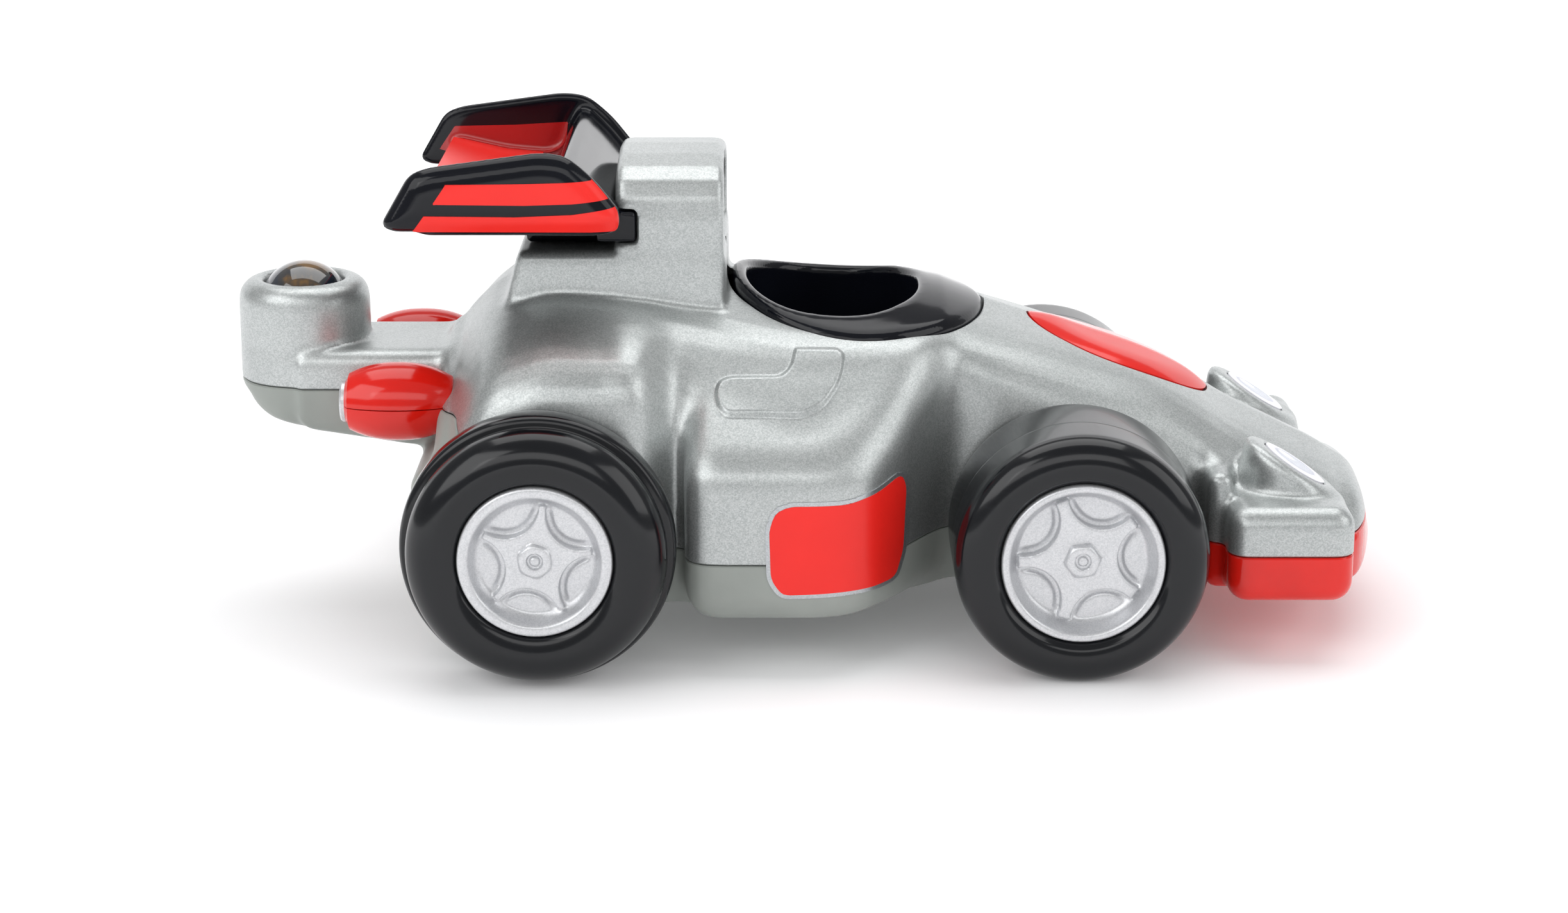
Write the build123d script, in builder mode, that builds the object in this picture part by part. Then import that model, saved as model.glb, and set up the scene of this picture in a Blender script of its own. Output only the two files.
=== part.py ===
"""Pull back race car for small children: a hollow clamshell body on fat wheels with a spring motor.

The nose points along +X, +Z is up, the car's left side is +Y and the ground is z = 0.
The origin is the middle of the car's outline on the ground.  Sizes are in millimetres.
"""
import math
import os

from build123d import *

os.makedirs("parts", exist_ok=True)

# ---------------------------------------------------------------- driving dimensions
NOSE_X = 127.9
WALL = 2.4

FRONT_X = 57.5
FRONT_R = 27.0
FRONT_IN = 32.0
FRONT_OUT = 65.0
FRONT_HUB_R = 17.3
FRONT_WALL = 31.0
REAR_X = -57.3
REAR_R = 29.2
REAR_IN = 53.0
REAR_OUT = 70.5
REAR_HUB_R = 16.3
REAR_WALL = 52.0
AXLE_R = 1.5
RUN_GAP = 0.06
PRESS_R = 3.5

POD_X = -113.3
POD_R = 14.6
POD_TOP = 74.7
BALL_R = 10.0
BALL_Z = 68.1
POD_HOLE_R = 8.8
BOOM_TOP = 61.0
BOOM_HALF = 16.4
TAIL_PART_Z = 52.3
POD_INSIDE = [(0, 45.4), (7.0, 45.4), (10.8, 49.4), (POD_R - 2.4, 54.8)]

SIDE_PART_Z = 25.2
NOSE_PART_Z = 24.2
FLOOR_Z = 12.0
BUMPER_X = 86.0

TOWER_FRONT = -18.3
TOWER_BACK = -42.0
TOWER_TOP = 105.0
TOWER_HALF = 20.5
DECK_REAR = -66.0
DECK_HALF = 24.0
DECK_TOP = 85.3

WING_HALF = 41.5
PLATE_T = 4.2

EXHAUST_Y = 25.6
EXHAUST_X0 = -101.3
EXHAUST_X1 = -77.4
EXHAUST_R = 8.6
EXHAUST_PEG_R = 3.0

COCKPIT_X = 10.7
COCKPIT_RX = 29.0
COCKPIT_RY = 33.0
SEAT_X = 5.4
SEAT_RX = 19.0
SEAT_RY = 22.0
SEAT_FLOOR = 34.0

BADGE_X = 70.0
BADGE_Z = 59.2
BADGE_RX = 22.4
BADGE_RY = 14.6
BADGE_TILT = 22.8

LAMP_X = 106.5
LAMP_Y = 31.0
LAMP_Z = 40.2
LAMP_TILT = 30.5

MODULE = 0.8
AXLE_TEETH = 12
IDLER_TEETH = 30
PINION_TEETH = 10
SPRING_TEETH = 32
IDLER_ANGLE = 20.0
SPRING_ANGLE = 130.0
IDLER_REACH = MODULE * (AXLE_TEETH + IDLER_TEETH) / 2
SPRING_REACH = MODULE * (PINION_TEETH + SPRING_TEETH) / 2
IDLER_X = REAR_X + IDLER_REACH * math.cos(math.radians(IDLER_ANGLE))
IDLER_Z = REAR_R + IDLER_REACH * math.sin(math.radians(IDLER_ANGLE))
SPRING_X = IDLER_X + SPRING_REACH * math.cos(math.radians(SPRING_ANGLE))
SPRING_Z = IDLER_Z + SPRING_REACH * math.sin(math.radians(SPRING_ANGLE))
MOTOR_X0 = -69.0
MOTOR_X1 = -26.0
MOTOR_Z0 = 18.2
MOTOR_Z1 = 64.0
MOTOR_HALF = 12.5
MOTOR_WALL = 1.8
MOTOR_MID_X = (MOTOR_X0 + MOTOR_X1) / 2

SIDES = {"right": -1, "left": 1}
LAMP_PLANE = Plane(
    origin=(LAMP_X, 0, LAMP_Z),
    x_dir=(math.cos(math.radians(LAMP_TILT)), 0, -math.sin(math.radians(LAMP_TILT))),
    z_dir=(math.sin(math.radians(LAMP_TILT)), 0, math.cos(math.radians(LAMP_TILT))),
)
BADGE_PLANE = Plane(
    origin=(BADGE_X, 0, BADGE_Z),
    x_dir=(math.cos(math.radians(BADGE_TILT)), 0, -math.sin(math.radians(BADGE_TILT))),
    z_dir=(math.sin(math.radians(BADGE_TILT)), 0, math.cos(math.radians(BADGE_TILT))),
)

# Hull lines: station x, then (half width, height) from the crown down to the floor.
HULL = [
    (-77.4, [(0, 66.3), (18, 61.8), (34, 54), (45, 46), (49, 37), (50, 22), (46, 13)]),
    (-70, [(0, 73.2), (20, 69), (37, 61), (49, 51.5), (52, 40), (52, 22), (47, 12.3)]),
    (-60, [(0, 77), (22, 73.5), (38, 66), (50, 56.5), (52, 42), (52, 22), (47, 12)]),
    (-45, [(0, 77), (24, 74), (40, 66), (51, 56.5), (52, 42), (52, 22), (47, 12)]),
    (-28, [(0, 76), (26, 72), (40, 62), (47.5, 51), (49, 42), (49.5, 22), (46.5, 12)]),
    (0, [(0, 75), (31, 68.5), (40, 61.5), (47, 52), (48, 42), (48, 22), (44, 12)]),
    (20, [(0, 74), (28, 67.6), (34.5, 62.5), (37, 54), (37, 42), (36.5, 21), (31, 12)]),
    (30, [(0, 72.8), (23, 67.8), (29.5, 63), (31, 55), (31, 42), (30.995, 22), (27, 12)]),
    (42, [(0, 69.0), (20, 65.4), (28.5, 60.4), (31, 52), (31, 42), (30.995, 22), (27, 12)]),
    (60, [(0, 62.9), (17, 60.4), (27.5, 55.2), (31, 47.4), (31, 40), (30.995, 22), (27, 12)]),
    (80, [(0, 55.4), (17, 52.8), (27, 47.6), (31, 40.4), (31, 34), (30.995, 22), (27, 12)]),
    (87, [(0, 51.6), (17, 48.9), (28, 43.2), (31.2, 37.6), (31.2, 31), (31.195, 22), (27.4, 12.1)]),
    (94, [(0, 47.4), (17, 44.3), (28, 38.6), (33, 33.5), (34, 28), (34, 21), (30, 12.4)]),
    (108, [(0, 40.4), (17, 37.2), (28, 32.4), (36, 28), (38, 25), (38.5, 19.5), (35, 12.4)]),
    (118, [(0, 35.1), (17, 32), (27, 28), (34, 24.8), (36, 22), (36, 18), (33, 12.8)]),
    (125.5, [(0, 28.3), (14, 27), (21, 25), (26, 23), (27, 21), (27, 17.5), (25, 13.5)]),
    (NOSE_X, [(0, 23), (8, 22.6), (13, 22), (17, 21), (18, 19.5), (18, 17.5), (16, 15.5)]),
]
# Plan outline of a side pod, from its back inner corner round to its front, half widths as y.
POD_PLAN = [(-26.6, 20), (-26.6, 58.5), (-23.5, 61.5), (3, 61.5), (12, 57), (20, 47), (28.6, 32), (28.6, 20)]
# Cross section of both side pods, for y > 0.
POD_RISE = [(0, 70), (33, 67), (40, 61.5), (60, 45.5), (61.5, 42), (61.5, 17), (57, FLOOR_Z), (0, FLOOR_Z)]
# The seam between the two body shells, seen from the side, from tail to nose.
SEAM = [(-140, TAIL_PART_Z), (-76, TAIL_PART_Z), (-66, REAR_R), (-40, REAR_R), (-31, SIDE_PART_Z),
        (32, SIDE_PART_Z), (38, FRONT_R), (78, FRONT_R), (BUMPER_X, NOSE_PART_Z), (140, NOSE_PART_Z)]
# Screws that close the body: x, y, height of the joint, height of the screw head's seat, length of the shank.
BODY_SCREWS = [(-14, 36, SIDE_PART_Z, 20, 16), (-14, -36, SIDE_PART_Z, 20, 16),
               (76, 17, FRONT_R, 20, 16), (76, -17, FRONT_R, 20, 16),
               (-93, 0, TAIL_PART_Z, 46.5, 11), (SEAT_X, 0, 22, 18, 13)]
SCREW_R = 1.4
HEAD_R = 2.6
POST_R = 3.4
BOSS_R = 4.6
WING_SCREWS = [(-52, 9), (-52, -9)]
# Red side label and the stripes of the wing's end plates, seen from the side.
LABEL = [(-8.5, 33.4), (-7.2, 37.0), (-4.1, 38.4), (8.1, 38.4), (14.7, 40.0), (19.5, 42.1), (20.6, 38.9),
         (20.0, 25.0), (18.3, 19.6), (14.9, 19.4), (-5.8, 18.8), (-8.2, 22.3)]
STRIPE_UPPER = [(-76.4, 103.5), (-49.4, 103.6), (-46.6, 103.4), (-43.9, 100.4), (-56.0, 98.8), (-79.6, 99.8)]
STRIPE_LOWER = [(-81.8, 96.9), (-56.0, 96.0), (-42.2, 97.6), (-41.2, 94.9), (-56.1, 93.0), (-84.0, 93.2)]
INNER_PANEL = [(-81.0, 101.4), (-79.4, 104.0), (-57.5, 107.0), (-55.6, 106.4), (-57.8, 98.4), (-60.5, 97.4),
               (-70.0, 98.2)]
SKIN = 0.4


# ---------------------------------------------------------------- shared helpers
def mirrored(points):
    """A closed section from its half, top to bottom, by mirroring it in y = 0."""
    other = [(-y, z) for y, z in reversed(points) if y > 0]
    return points + other


def inset(points, distance):
    """The polygon moved inwards by distance; its corners run clockwise."""
    moved = []
    count = len(points)
    for i in range(count):
        a = Vector(*points[i - 1])
        b = Vector(*points[i])
        c = Vector(*points[(i + 1) % count])
        first = (b - a).normalized()
        second = (c - b).normalized()
        inward = Vector(first.Y + second.Y, -first.X - second.X)
        scale = 2 / (inward.X ** 2 + inward.Y ** 2)
        corner = b + inward * distance * scale
        moved.append((corner.X, corner.Y))
    return moved


def section_plane(x):
    """A plane across the car, its own x along +Y and its own y along +Z."""
    return Plane(origin=(x, 0, 0), x_dir=(0, 1, 0), z_dir=(1, 0, 0))


def wheel_profile_plane(x, z, side):
    """Plane for turned profiles: its own x is the radius, its own y runs outwards from the car."""
    return Plane(origin=(x, 0, z), x_dir=(1, 0, 0), z_dir=(0, 0, side))


def wheel_face_plane(x, z, side, out):
    """Plane that faces outwards at the distance out from the car's middle."""
    return Plane(origin=(x, side * out, z), x_dir=(1, 0, 0), z_dir=(0, side, 0))


def wheel_axis(x, z):
    return Axis((x, 0, z), (0, 1, 0))


def finish(part, name):
    part.part.label = name
    export_step(part.part, f"parts/{name}.step")


# ---------------------------------------------------------------- the body as one outer form
with BuildPart() as hull:
    for station, half in HULL:
        with BuildSketch(section_plane(station)):
            with BuildLine():
                Polyline(*mirrored(half), close=True)
            make_face()
    loft(ruled=True)

with BuildPart() as hull_core:
    for station, half in HULL[:-1]:
        if station == HULL[0][0]:
            station += WALL
        if station == HULL[-2][0]:
            station -= 1.0
        with BuildSketch(section_plane(station)):
            with BuildLine():
                Polyline(*inset(mirrored(half), WALL), close=True)
            make_face()
    loft(ruled=True)


def side_pods(shrink):
    """Both side pods: their plan pushed up, kept under their common cross section."""
    rise = POD_RISE[:-1]
    with BuildPart() as pods:
        for side in (-1, 1):
            plan = [(x, y) for x, y in POD_PLAN]
            if shrink:
                plan = inset(plan, shrink)
            with BuildSketch(Plane.XY.offset(FLOOR_Z + shrink)):
                with BuildLine():
                    Polyline(*[(x, side * y) for x, y in plan], close=True)
                make_face()
        extrude(amount=60)
        with BuildSketch(section_plane(0)):
            with BuildLine():
                Polyline(*inset(mirrored(rise), shrink), close=True)
            make_face()
        extrude(amount=60, both=True, mode=Mode.INTERSECT)
    return pods.part


def tail_boom(shrink):
    """The boom under the pod, wider towards the body, with a bottom that falls forwards."""
    half = BOOM_HALF - shrink
    with BuildPart() as boom:
        with BuildSketch(Plane.XZ):
            with BuildLine():
                Polyline(
                    (POD_X, BOOM_TOP - shrink),
                    (-74.0, BOOM_TOP - shrink),
                    (-74.0, 38.0 + shrink),
                    (-89.0, 38.8 + shrink),
                    (POD_X, 43.0 + shrink),
                    close=True,
                )
            make_face()
        extrude(amount=half, both=True)
    return boom.part


def ball_pod(profile):
    """The round pod at the tail, turned from half of its section."""
    with BuildPart() as pod:
        with BuildSketch(Plane.XZ):
            with BuildLine():
                Polyline(*[(POD_X + r, z) for r, z in profile], close=True)
            make_face()
        revolve(axis=Axis((POD_X, 0, 0), (0, 0, 1)))
    return pod.part


with BuildPart() as lamp_bosses:
    with BuildSketch(Plane.XY.offset(20.0)):
        with Locations((LAMP_X, LAMP_Y), (LAMP_X, -LAMP_Y)):
            Ellipse(9.6, 7.2)
    extrude(amount=30.0)
    split(bisect_by=LAMP_PLANE, keep=Keep.BOTTOM)


with BuildPart() as outer_form:
    # low box behind the rear wheels
    with BuildSketch(Plane.XY.offset(13.2)):
        with Locations((-76.0, 0)):
            RectangleRounded(20.0, 91.0, 6.0)
    extrude(amount=28.3)
    add(hull.part)
    add(side_pods(0))
    add(tail_boom(0))
    # pod that holds the ball
    add(ball_pod([(0, 43.0), (8.0, 43.0), (12.8, 48.0), (POD_R, 54.0), (POD_R, POD_TOP), (0, POD_TOP)]))
    # engine deck and air tower
    with BuildSketch(Plane.XY.offset(66.0)):
        with Locations(((DECK_REAR + TOWER_FRONT) / 2, 0)):
            Rectangle(TOWER_FRONT - DECK_REAR, 2 * DECK_HALF)
    extrude(amount=DECK_TOP - 66.0)
    with BuildSketch(section_plane(TOWER_BACK)):
        with BuildLine():
            Polyline(
                (-TOWER_HALF, 70),
                (-TOWER_HALF, TOWER_TOP - 11),
                (-TOWER_HALF + 6, TOWER_TOP - 3),
                (-8, TOWER_TOP),
                (8, TOWER_TOP),
                (TOWER_HALF - 6, TOWER_TOP - 3),
                (TOWER_HALF, TOWER_TOP - 11),
                (TOWER_HALF, 70),
                close=True,
            )
        make_face()
    extrude(amount=TOWER_FRONT - TOWER_BACK)
    # front corner blocks
    with BuildSketch(Plane.XY.offset(14.0)):
        with Locations((104.0, 41.0), (104.0, -41.0)):
            RectangleRounded(27.4, 19.0, 4.5)
    extrude(amount=21.0)
    # raised lamp bosses, cut off on a slope
    add(lamp_bosses.part)


with BuildPart() as cavity:
    with BuildSketch(Plane.XY.offset(13.2 + WALL)):
        with Locations((-76.0, 0)):
            RectangleRounded(20.0 - 2 * WALL, 91.0 - 2 * WALL, 6.0 - WALL)
    extrude(amount=28.3 - 2 * WALL)
    add(hull_core.part)
    add(side_pods(WALL))
    add(tail_boom(WALL))
    # inside of the ball pod, up to the seat of the ball
    add(ball_pod([*POD_INSIDE, (POD_R - WALL, BALL_Z), (0, BALL_Z)]))
    # under the engine deck
    with BuildSketch(Plane.XY.offset(64.0)):
        with Locations(((DECK_REAR + TOWER_FRONT) / 2, 0)):
            Rectangle(TOWER_FRONT - DECK_REAR - 2 * WALL, 2 * (DECK_HALF - WALL))
    extrude(amount=DECK_TOP - WALL - 64.0)
    # inside of the front corner blocks
    with BuildSketch(Plane.XY.offset(14.0 + WALL)):
        with Locations((104.0, 41.0), (104.0, -41.0)):
            RectangleRounded(27.4 - 2 * WALL, 19.0 - 2 * WALL, 4.5 - WALL)
    extrude(amount=21.0 - 2 * WALL)


# ---------------------------------------------------------------- the black cockpit tub
with BuildPart() as tub_blank:
    with BuildSketch(Plane.XY.offset(50.0)):
        with Locations((COCKPIT_X, 0)):
            Ellipse(COCKPIT_RX, COCKPIT_RY)
    extrude(amount=40.0)
    with BuildSketch(Plane.XY.offset(50.0)):
        with Locations((TOWER_FRONT - 20, 0)):
            Rectangle(40, 80)
    extrude(amount=40.0, mode=Mode.SUBTRACT)

with BuildPart() as cockpit_tub:
    add(tub_blank.part)
    add(hull.part, mode=Mode.INTERSECT)
    add(Pos(0, 0, -3.4) * hull.part, mode=Mode.SUBTRACT)
    with BuildSketch(Plane.XY.offset(SEAT_FLOOR - 2.0)):
        with Locations((SEAT_X, 0)):
            Ellipse(SEAT_RX - 1.0, SEAT_RY - 1.0)
    with BuildSketch(Plane.XY.offset(69.0)):
        with Locations((SEAT_X, 0)):
            Ellipse(SEAT_RX + 2.2, SEAT_RY + 2.2)
    loft()
    with BuildSketch(Plane.XY.offset(SEAT_FLOOR)):
        with Locations((SEAT_X, 0)):
            Ellipse(SEAT_RX - 3.0, SEAT_RY - 3.0)
    with BuildSketch(Plane.XY.offset(80.0)):
        with Locations((SEAT_X, 0)):
            Ellipse(SEAT_RX + 0.4, SEAT_RY + 0.4)
    loft(mode=Mode.SUBTRACT)
    # post for the screw that comes up through the floor
    with BuildSketch(Plane.XY.offset(22.0)):
        with Locations((SEAT_X, 0)):
            Circle(POST_R)
    extrude(amount=SEAT_FLOOR - 1.0 - 22.0)
    with BuildSketch(Plane.XY.offset(22.0)):
        with Locations((SEAT_X, 0)):
            Circle(SCREW_R)
    extrude(amount=9.4, mode=Mode.SUBTRACT)


# ---------------------------------------------------------------- oval badge on the nose
def badge_blank(extra, low, high):
    """An oval plate that follows the crown of the nose, between two depths from its surface."""
    with BuildPart() as blank:
        with BuildSketch(BADGE_PLANE.offset(-8.0)):
            Ellipse(BADGE_RX + extra, BADGE_RY + extra)
        extrude(amount=14.0)
        add(Pos(0, 0, high) * hull.part, mode=Mode.INTERSECT)
        add(Pos(0, 0, low) * hull.part, mode=Mode.SUBTRACT)
    return blank


badge_pocket = badge_blank(0.15, -1.1, 3.0)
nose_badge = badge_blank(0, -1.1, 0.5)

# ---------------------------------------------------------------- upper and lower shells, bumper
with BuildPart() as body_walls:
    add(outer_form.part)
    add(cavity.part, mode=Mode.SUBTRACT)
    # hollow of the air tower, open to the front
    with BuildSketch(section_plane(TOWER_FRONT + 1)):
        with BuildLine():
            Polyline(
                (-TOWER_HALF + 3.4, DECK_TOP - 1.0),
                (-TOWER_HALF + 3.4, TOWER_TOP - 12),
                (-8, TOWER_TOP - 4),
                (8, TOWER_TOP - 4),
                (TOWER_HALF - 3.4, TOWER_TOP - 12),
                (TOWER_HALF - 3.4, DECK_TOP - 1.0),
                close=True,
            )
        make_face()
    extrude(amount=-21.0, mode=Mode.SUBTRACT)
    # mouth over the ball, and the round seat under it
    with BuildSketch(Plane.XY.offset(BALL_Z)):
        with Locations((POD_X, 0)):
            Circle(POD_HOLE_R)
    extrude(amount=20.0, mode=Mode.SUBTRACT)
    with Locations((POD_X, 0, BALL_Z)):
        Sphere(BALL_R + 0.3, mode=Mode.SUBTRACT)
    # pockets for the badge and the lamp lenses, sockets for the exhausts
    add(badge_pocket.part, mode=Mode.SUBTRACT)
    with BuildSketch(section_plane(EXHAUST_X1 - 1)):
        with Locations((EXHAUST_Y, TAIL_PART_Z), (-EXHAUST_Y, TAIL_PART_Z)):
            Circle(EXHAUST_PEG_R)
    extrude(amount=5.0, mode=Mode.SUBTRACT)
    with BuildSketch(LAMP_PLANE.offset(-0.8)):
        with Locations((0, LAMP_Y), (0, -LAMP_Y)):
            Ellipse(7.7, 5.1)
    extrude(amount=1.0, mode=Mode.SUBTRACT)
    # holes for the axle bushes, through both walls
    for x, z in ((FRONT_X, FRONT_R), (REAR_X, REAR_R)):
        with BuildSketch(Plane(origin=(x, 0, z), x_dir=(1, 0, 0), z_dir=(0, -1, 0))):
            Circle(PRESS_R)
        extrude(amount=60, both=True, mode=Mode.SUBTRACT)


with BuildPart() as above_seam:
    with BuildSketch(Plane.XZ):
        with BuildLine():
            Polyline(*SEAM, (140, 130), (-140, 130), close=True)
        make_face()
    extrude(amount=80, both=True)

with BuildPart() as posts:
    for x, y, joint, seat, shank in BODY_SCREWS[:-1]:
        with BuildSketch(Plane.XY.offset(joint)):
            with Locations((x, y)):
                Circle(POST_R)
        extrude(amount=60)
    # ribs that hold the motor down
    with BuildSketch(Plane.XY.offset(MOTOR_Z1)):
        with Locations((MOTOR_X0 + 8, 0), (MOTOR_X1 - 8, 0)):
            Rectangle(WALL, 2 * MOTOR_HALF - 1)
    extrude(amount=DECK_TOP - WALL / 2 - MOTOR_Z1)
    add(outer_form.part, mode=Mode.INTERSECT)
    for x, y, joint, seat, shank in BODY_SCREWS[:-1]:
        with BuildSketch(Plane.XY.offset(joint)):
            with Locations((x, y)):
                Circle(SCREW_R)
        extrude(amount=seat + shank + 0.5 - joint, mode=Mode.SUBTRACT)

with BuildPart() as bosses:
    for x, y, joint, seat, shank in BODY_SCREWS:
        with BuildSketch(Plane.XY.offset(FLOOR_Z if x > -80 else 40)):
            with Locations((x, y)):
                Circle(BOSS_R)
        extrude(amount=joint - (FLOOR_Z if x > -80 else 40))
    # ribs under the motor
    with BuildSketch(Plane.XY.offset(FLOOR_Z + 0.4)):
        with Locations((MOTOR_X0 + 8, 0), (MOTOR_X1 - 8, 0)):
            Rectangle(WALL, 2 * MOTOR_HALF - 1)
    extrude(amount=MOTOR_Z0 - FLOOR_Z - 0.4)
    # pads beside the motor that keep it from sliding sideways
    with BuildSketch(Plane.XY.offset(FLOOR_Z + 0.4)):
        with Locations((MOTOR_MID_X, MOTOR_HALF + WALL / 2), (MOTOR_MID_X, -MOTOR_HALF - WALL / 2)):
            Rectangle(16, WALL)
    extrude(amount=12)

with BuildPart() as screw_ways:
    for x, y, joint, seat, shank in BODY_SCREWS:
        with BuildSketch(Plane.XY.offset(0)):
            with Locations((x, y)):
                Circle(HEAD_R + 0.4)
        extrude(amount=seat)
        with BuildSketch(Plane.XY.offset(seat - 1)):
            with Locations((x, y)):
                Circle(SCREW_R + 0.2)
        extrude(amount=joint - seat + 1)

with BuildPart() as upper_shell:
    add(body_walls.part)
    add(above_seam.part, mode=Mode.INTERSECT)
    add(tub_blank.part, mode=Mode.SUBTRACT)
    add(posts.part)
    with BuildSketch(Plane.XY.offset(DECK_TOP - 6)):
        with Locations(*WING_SCREWS):
            Circle(SCREW_R + 0.2)
    extrude(amount=8, mode=Mode.SUBTRACT)

with BuildPart() as lower_shell:
    add(body_walls.part)
    add(above_seam.part, mode=Mode.SUBTRACT)
    with BuildSketch(Plane.YZ.offset(BUMPER_X)):
        Rectangle(200, 200)
    extrude(amount=80, mode=Mode.SUBTRACT)
    add(bosses.part)
    add(screw_ways.part, mode=Mode.SUBTRACT)

with BuildPart() as front_bumper:
    add(body_walls.part)
    add(above_seam.part, mode=Mode.SUBTRACT)
    with BuildSketch(Plane.YZ.offset(BUMPER_X)):
        Rectangle(200, 200)
    extrude(amount=80, mode=Mode.INTERSECT)
    # two tongues that lie on the floor of the lower shell
    with BuildSketch(Plane.XY.offset(13.4)):
        with Locations((BUMPER_X + 5, 7), (BUMPER_X + 5, -7)):
            Rectangle(10, 7)
    extrude(amount=4.0)
    with BuildSketch(Plane.XY.offset(14.7)):
        with Locations((BUMPER_X - 5, 7), (BUMPER_X - 5, -7)):
            Rectangle(10, 7)
    extrude(amount=2.7)


def skin_on(outline, inner, outer, side):
    """A thin sticker: its outline pushed sideways, kept between two nested solids."""
    with BuildPart() as skin:
        with BuildSketch(Plane.XZ.offset(-side * 40)):
            with BuildLine():
                Polyline(*outline, close=True)
            make_face()
        extrude(amount=-side * 40)
        add(outer, mode=Mode.INTERSECT)
        add(inner, mode=Mode.SUBTRACT)
    return skin


def flat_sticker(outline, y0, y1):
    """A thin sticker on a flat upright face, between two distances from the car's middle."""
    with BuildPart() as skin:
        with BuildSketch(Plane.XZ.offset(-y0)):
            with BuildLine():
                Polyline(*outline, close=True)
            make_face()
        extrude(amount=y0 - y1)
    return skin


def lamp_lens(side):
    """Clear oval lens, its lower part in the pocket of the lamp boss, its top domed."""
    with BuildPart() as lens:
        with BuildSketch(LAMP_PLANE.offset(-0.8)):
            with Locations((0, side * LAMP_Y)):
                Ellipse(7.6, 5.0)
        extrude(amount=1.2)
        with BuildSketch(LAMP_PLANE.offset(0.4)):
            with Locations((0, side * LAMP_Y)):
                Ellipse(7.6, 5.0)
        with BuildSketch(LAMP_PLANE.offset(1.3)):
            with Locations((0, side * LAMP_Y)):
                Ellipse(5.4, 2.8)
        loft()
    return lens


def screw_set(places):
    """Pan head screws that point up: (x, y, height of the head's seat, shank length)."""
    with BuildPart() as fasteners:
        for x, y, seat, shank in places:
            with BuildSketch(Plane.XY.offset(seat)):
                with Locations((x, y)):
                    Circle(SCREW_R)
            extrude(amount=shank)
            with BuildSketch(Plane.XY.offset(seat - 1.7)):
                with Locations((x, y)):
                    Circle(HEAD_R)
            extrude(amount=1.7)
            with BuildSketch(Plane.XY.offset(seat - 1.7)):
                with Locations((x, y)):
                    Rectangle(3.2, 0.6, rotation=45)
                    Rectangle(0.6, 3.2, rotation=45)
            extrude(amount=0.9, mode=Mode.SUBTRACT)
    return fasteners


# ---------------------------------------------------------------- rear wing
PLATE_OUTLINE = [(-90.2, 94.3), (-84.2, 104.6), (-80.5, 106.0), (-57.0, 109.2), (-51.5, 108.6),
                 (-46.0, 104.0), (-40.0, 95.6), (-40.6, 93.6), (-43.0, 92.4), (-87.8, 92.4)]
DECK_LINE = [(-83.0, 99.6), (-70.0, 96.6), (-60.5, 95.8), (-56.5, 97.2), (-53.4, 105.8), (-51.9, 106.2),
             (-46.8, 102.4), (-41.0, 94.9), (-36.0, 94.9), (-36.0, 112.0), (-83.0, 112.0)]
WING_HOLLOW = [(-54.2, 92.0), (-54.2, 97.6), (-52.4, 102.6), (-51.4, 102.9), (-48.2, 100.6), (-43.9, 95.0),
               (-44.2, 92.0)]
STRUT_X0 = -62.0
STRUT_X1 = -37.6

with BuildPart() as rear_wing:
    with BuildSketch(Plane.XZ):
        with BuildLine():
            Polyline(*PLATE_OUTLINE, close=True)
        make_face()
    extrude(amount=WING_HALF, both=True)
    # open tray between the end plates
    with BuildSketch(Plane.XZ):
        with BuildLine():
            Polyline(*DECK_LINE, close=True)
        make_face()
        with Locations((-92.0, 100.0)):
            Rectangle(18.0, 30.0)
    extrude(amount=WING_HALF - PLATE_T, both=True, mode=Mode.SUBTRACT)
    # strut down to the engine deck, with a tongue at each side of the tower
    with BuildSketch(Plane.XZ):
        with BuildLine():
            Polyline(
                (STRUT_X0, DECK_TOP),
                (-43.0, DECK_TOP),
                (-43.0, 93.0),
                (STRUT_X0, 93.0),
                close=True,
            )
        make_face()
    extrude(amount=15.0, both=True)
    with BuildSketch(Plane.XZ):
        with BuildLine():
            Polyline(
                (-46.0, 87.4),
                (STRUT_X1, 87.4),
                (STRUT_X1, 94.0),
                (-46.0, 94.0),
                close=True,
            )
        make_face()
    extrude(amount=24.0, both=True)
    with BuildSketch(Plane.XY.offset(80.0)):
        with Locations(((TOWER_BACK + TOWER_FRONT) / 2, 0)):
            Rectangle(TOWER_FRONT - TOWER_BACK, 2 * TOWER_HALF)
    extrude(amount=30.0, mode=Mode.SUBTRACT)
    # hollows under the front wall, beside the strut
    with BuildSketch(Plane.XZ):
        with BuildLine():
            Polyline(*WING_HOLLOW, close=True)
        make_face()
    extrude(amount=WING_HALF - PLATE_T + 2, both=True, mode=Mode.SUBTRACT)
    with BuildSketch(Plane.XZ):
        with BuildLine():
            Polyline(*WING_HOLLOW, close=True)
        make_face()
    extrude(amount=TOWER_HALF + 5, both=True)
    with BuildSketch(Plane.XY.offset(DECK_TOP)):
        with Locations(*WING_SCREWS):
            Circle(SCREW_R)
    extrude(amount=7.0, mode=Mode.SUBTRACT)


# ---------------------------------------------------------------- tail ball and its seat
with BuildPart() as tail_ball:
    with Locations((POD_X, 0, BALL_Z)):
        Sphere(BALL_R)

with BuildPart() as ball_seat:
    add(ball_pod([*POD_INSIDE, (POD_R - WALL, 63.0), (0, 63.0)]))
    with BuildSketch(Plane.XY.offset(40.0)):
        with Locations((POD_X, 0)):
            Circle(4.0)
    extrude(amount=30.0, mode=Mode.SUBTRACT)
    with Locations((POD_X, 0, BALL_Z)):
        Sphere(BALL_R + 0.3, mode=Mode.SUBTRACT)


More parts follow.
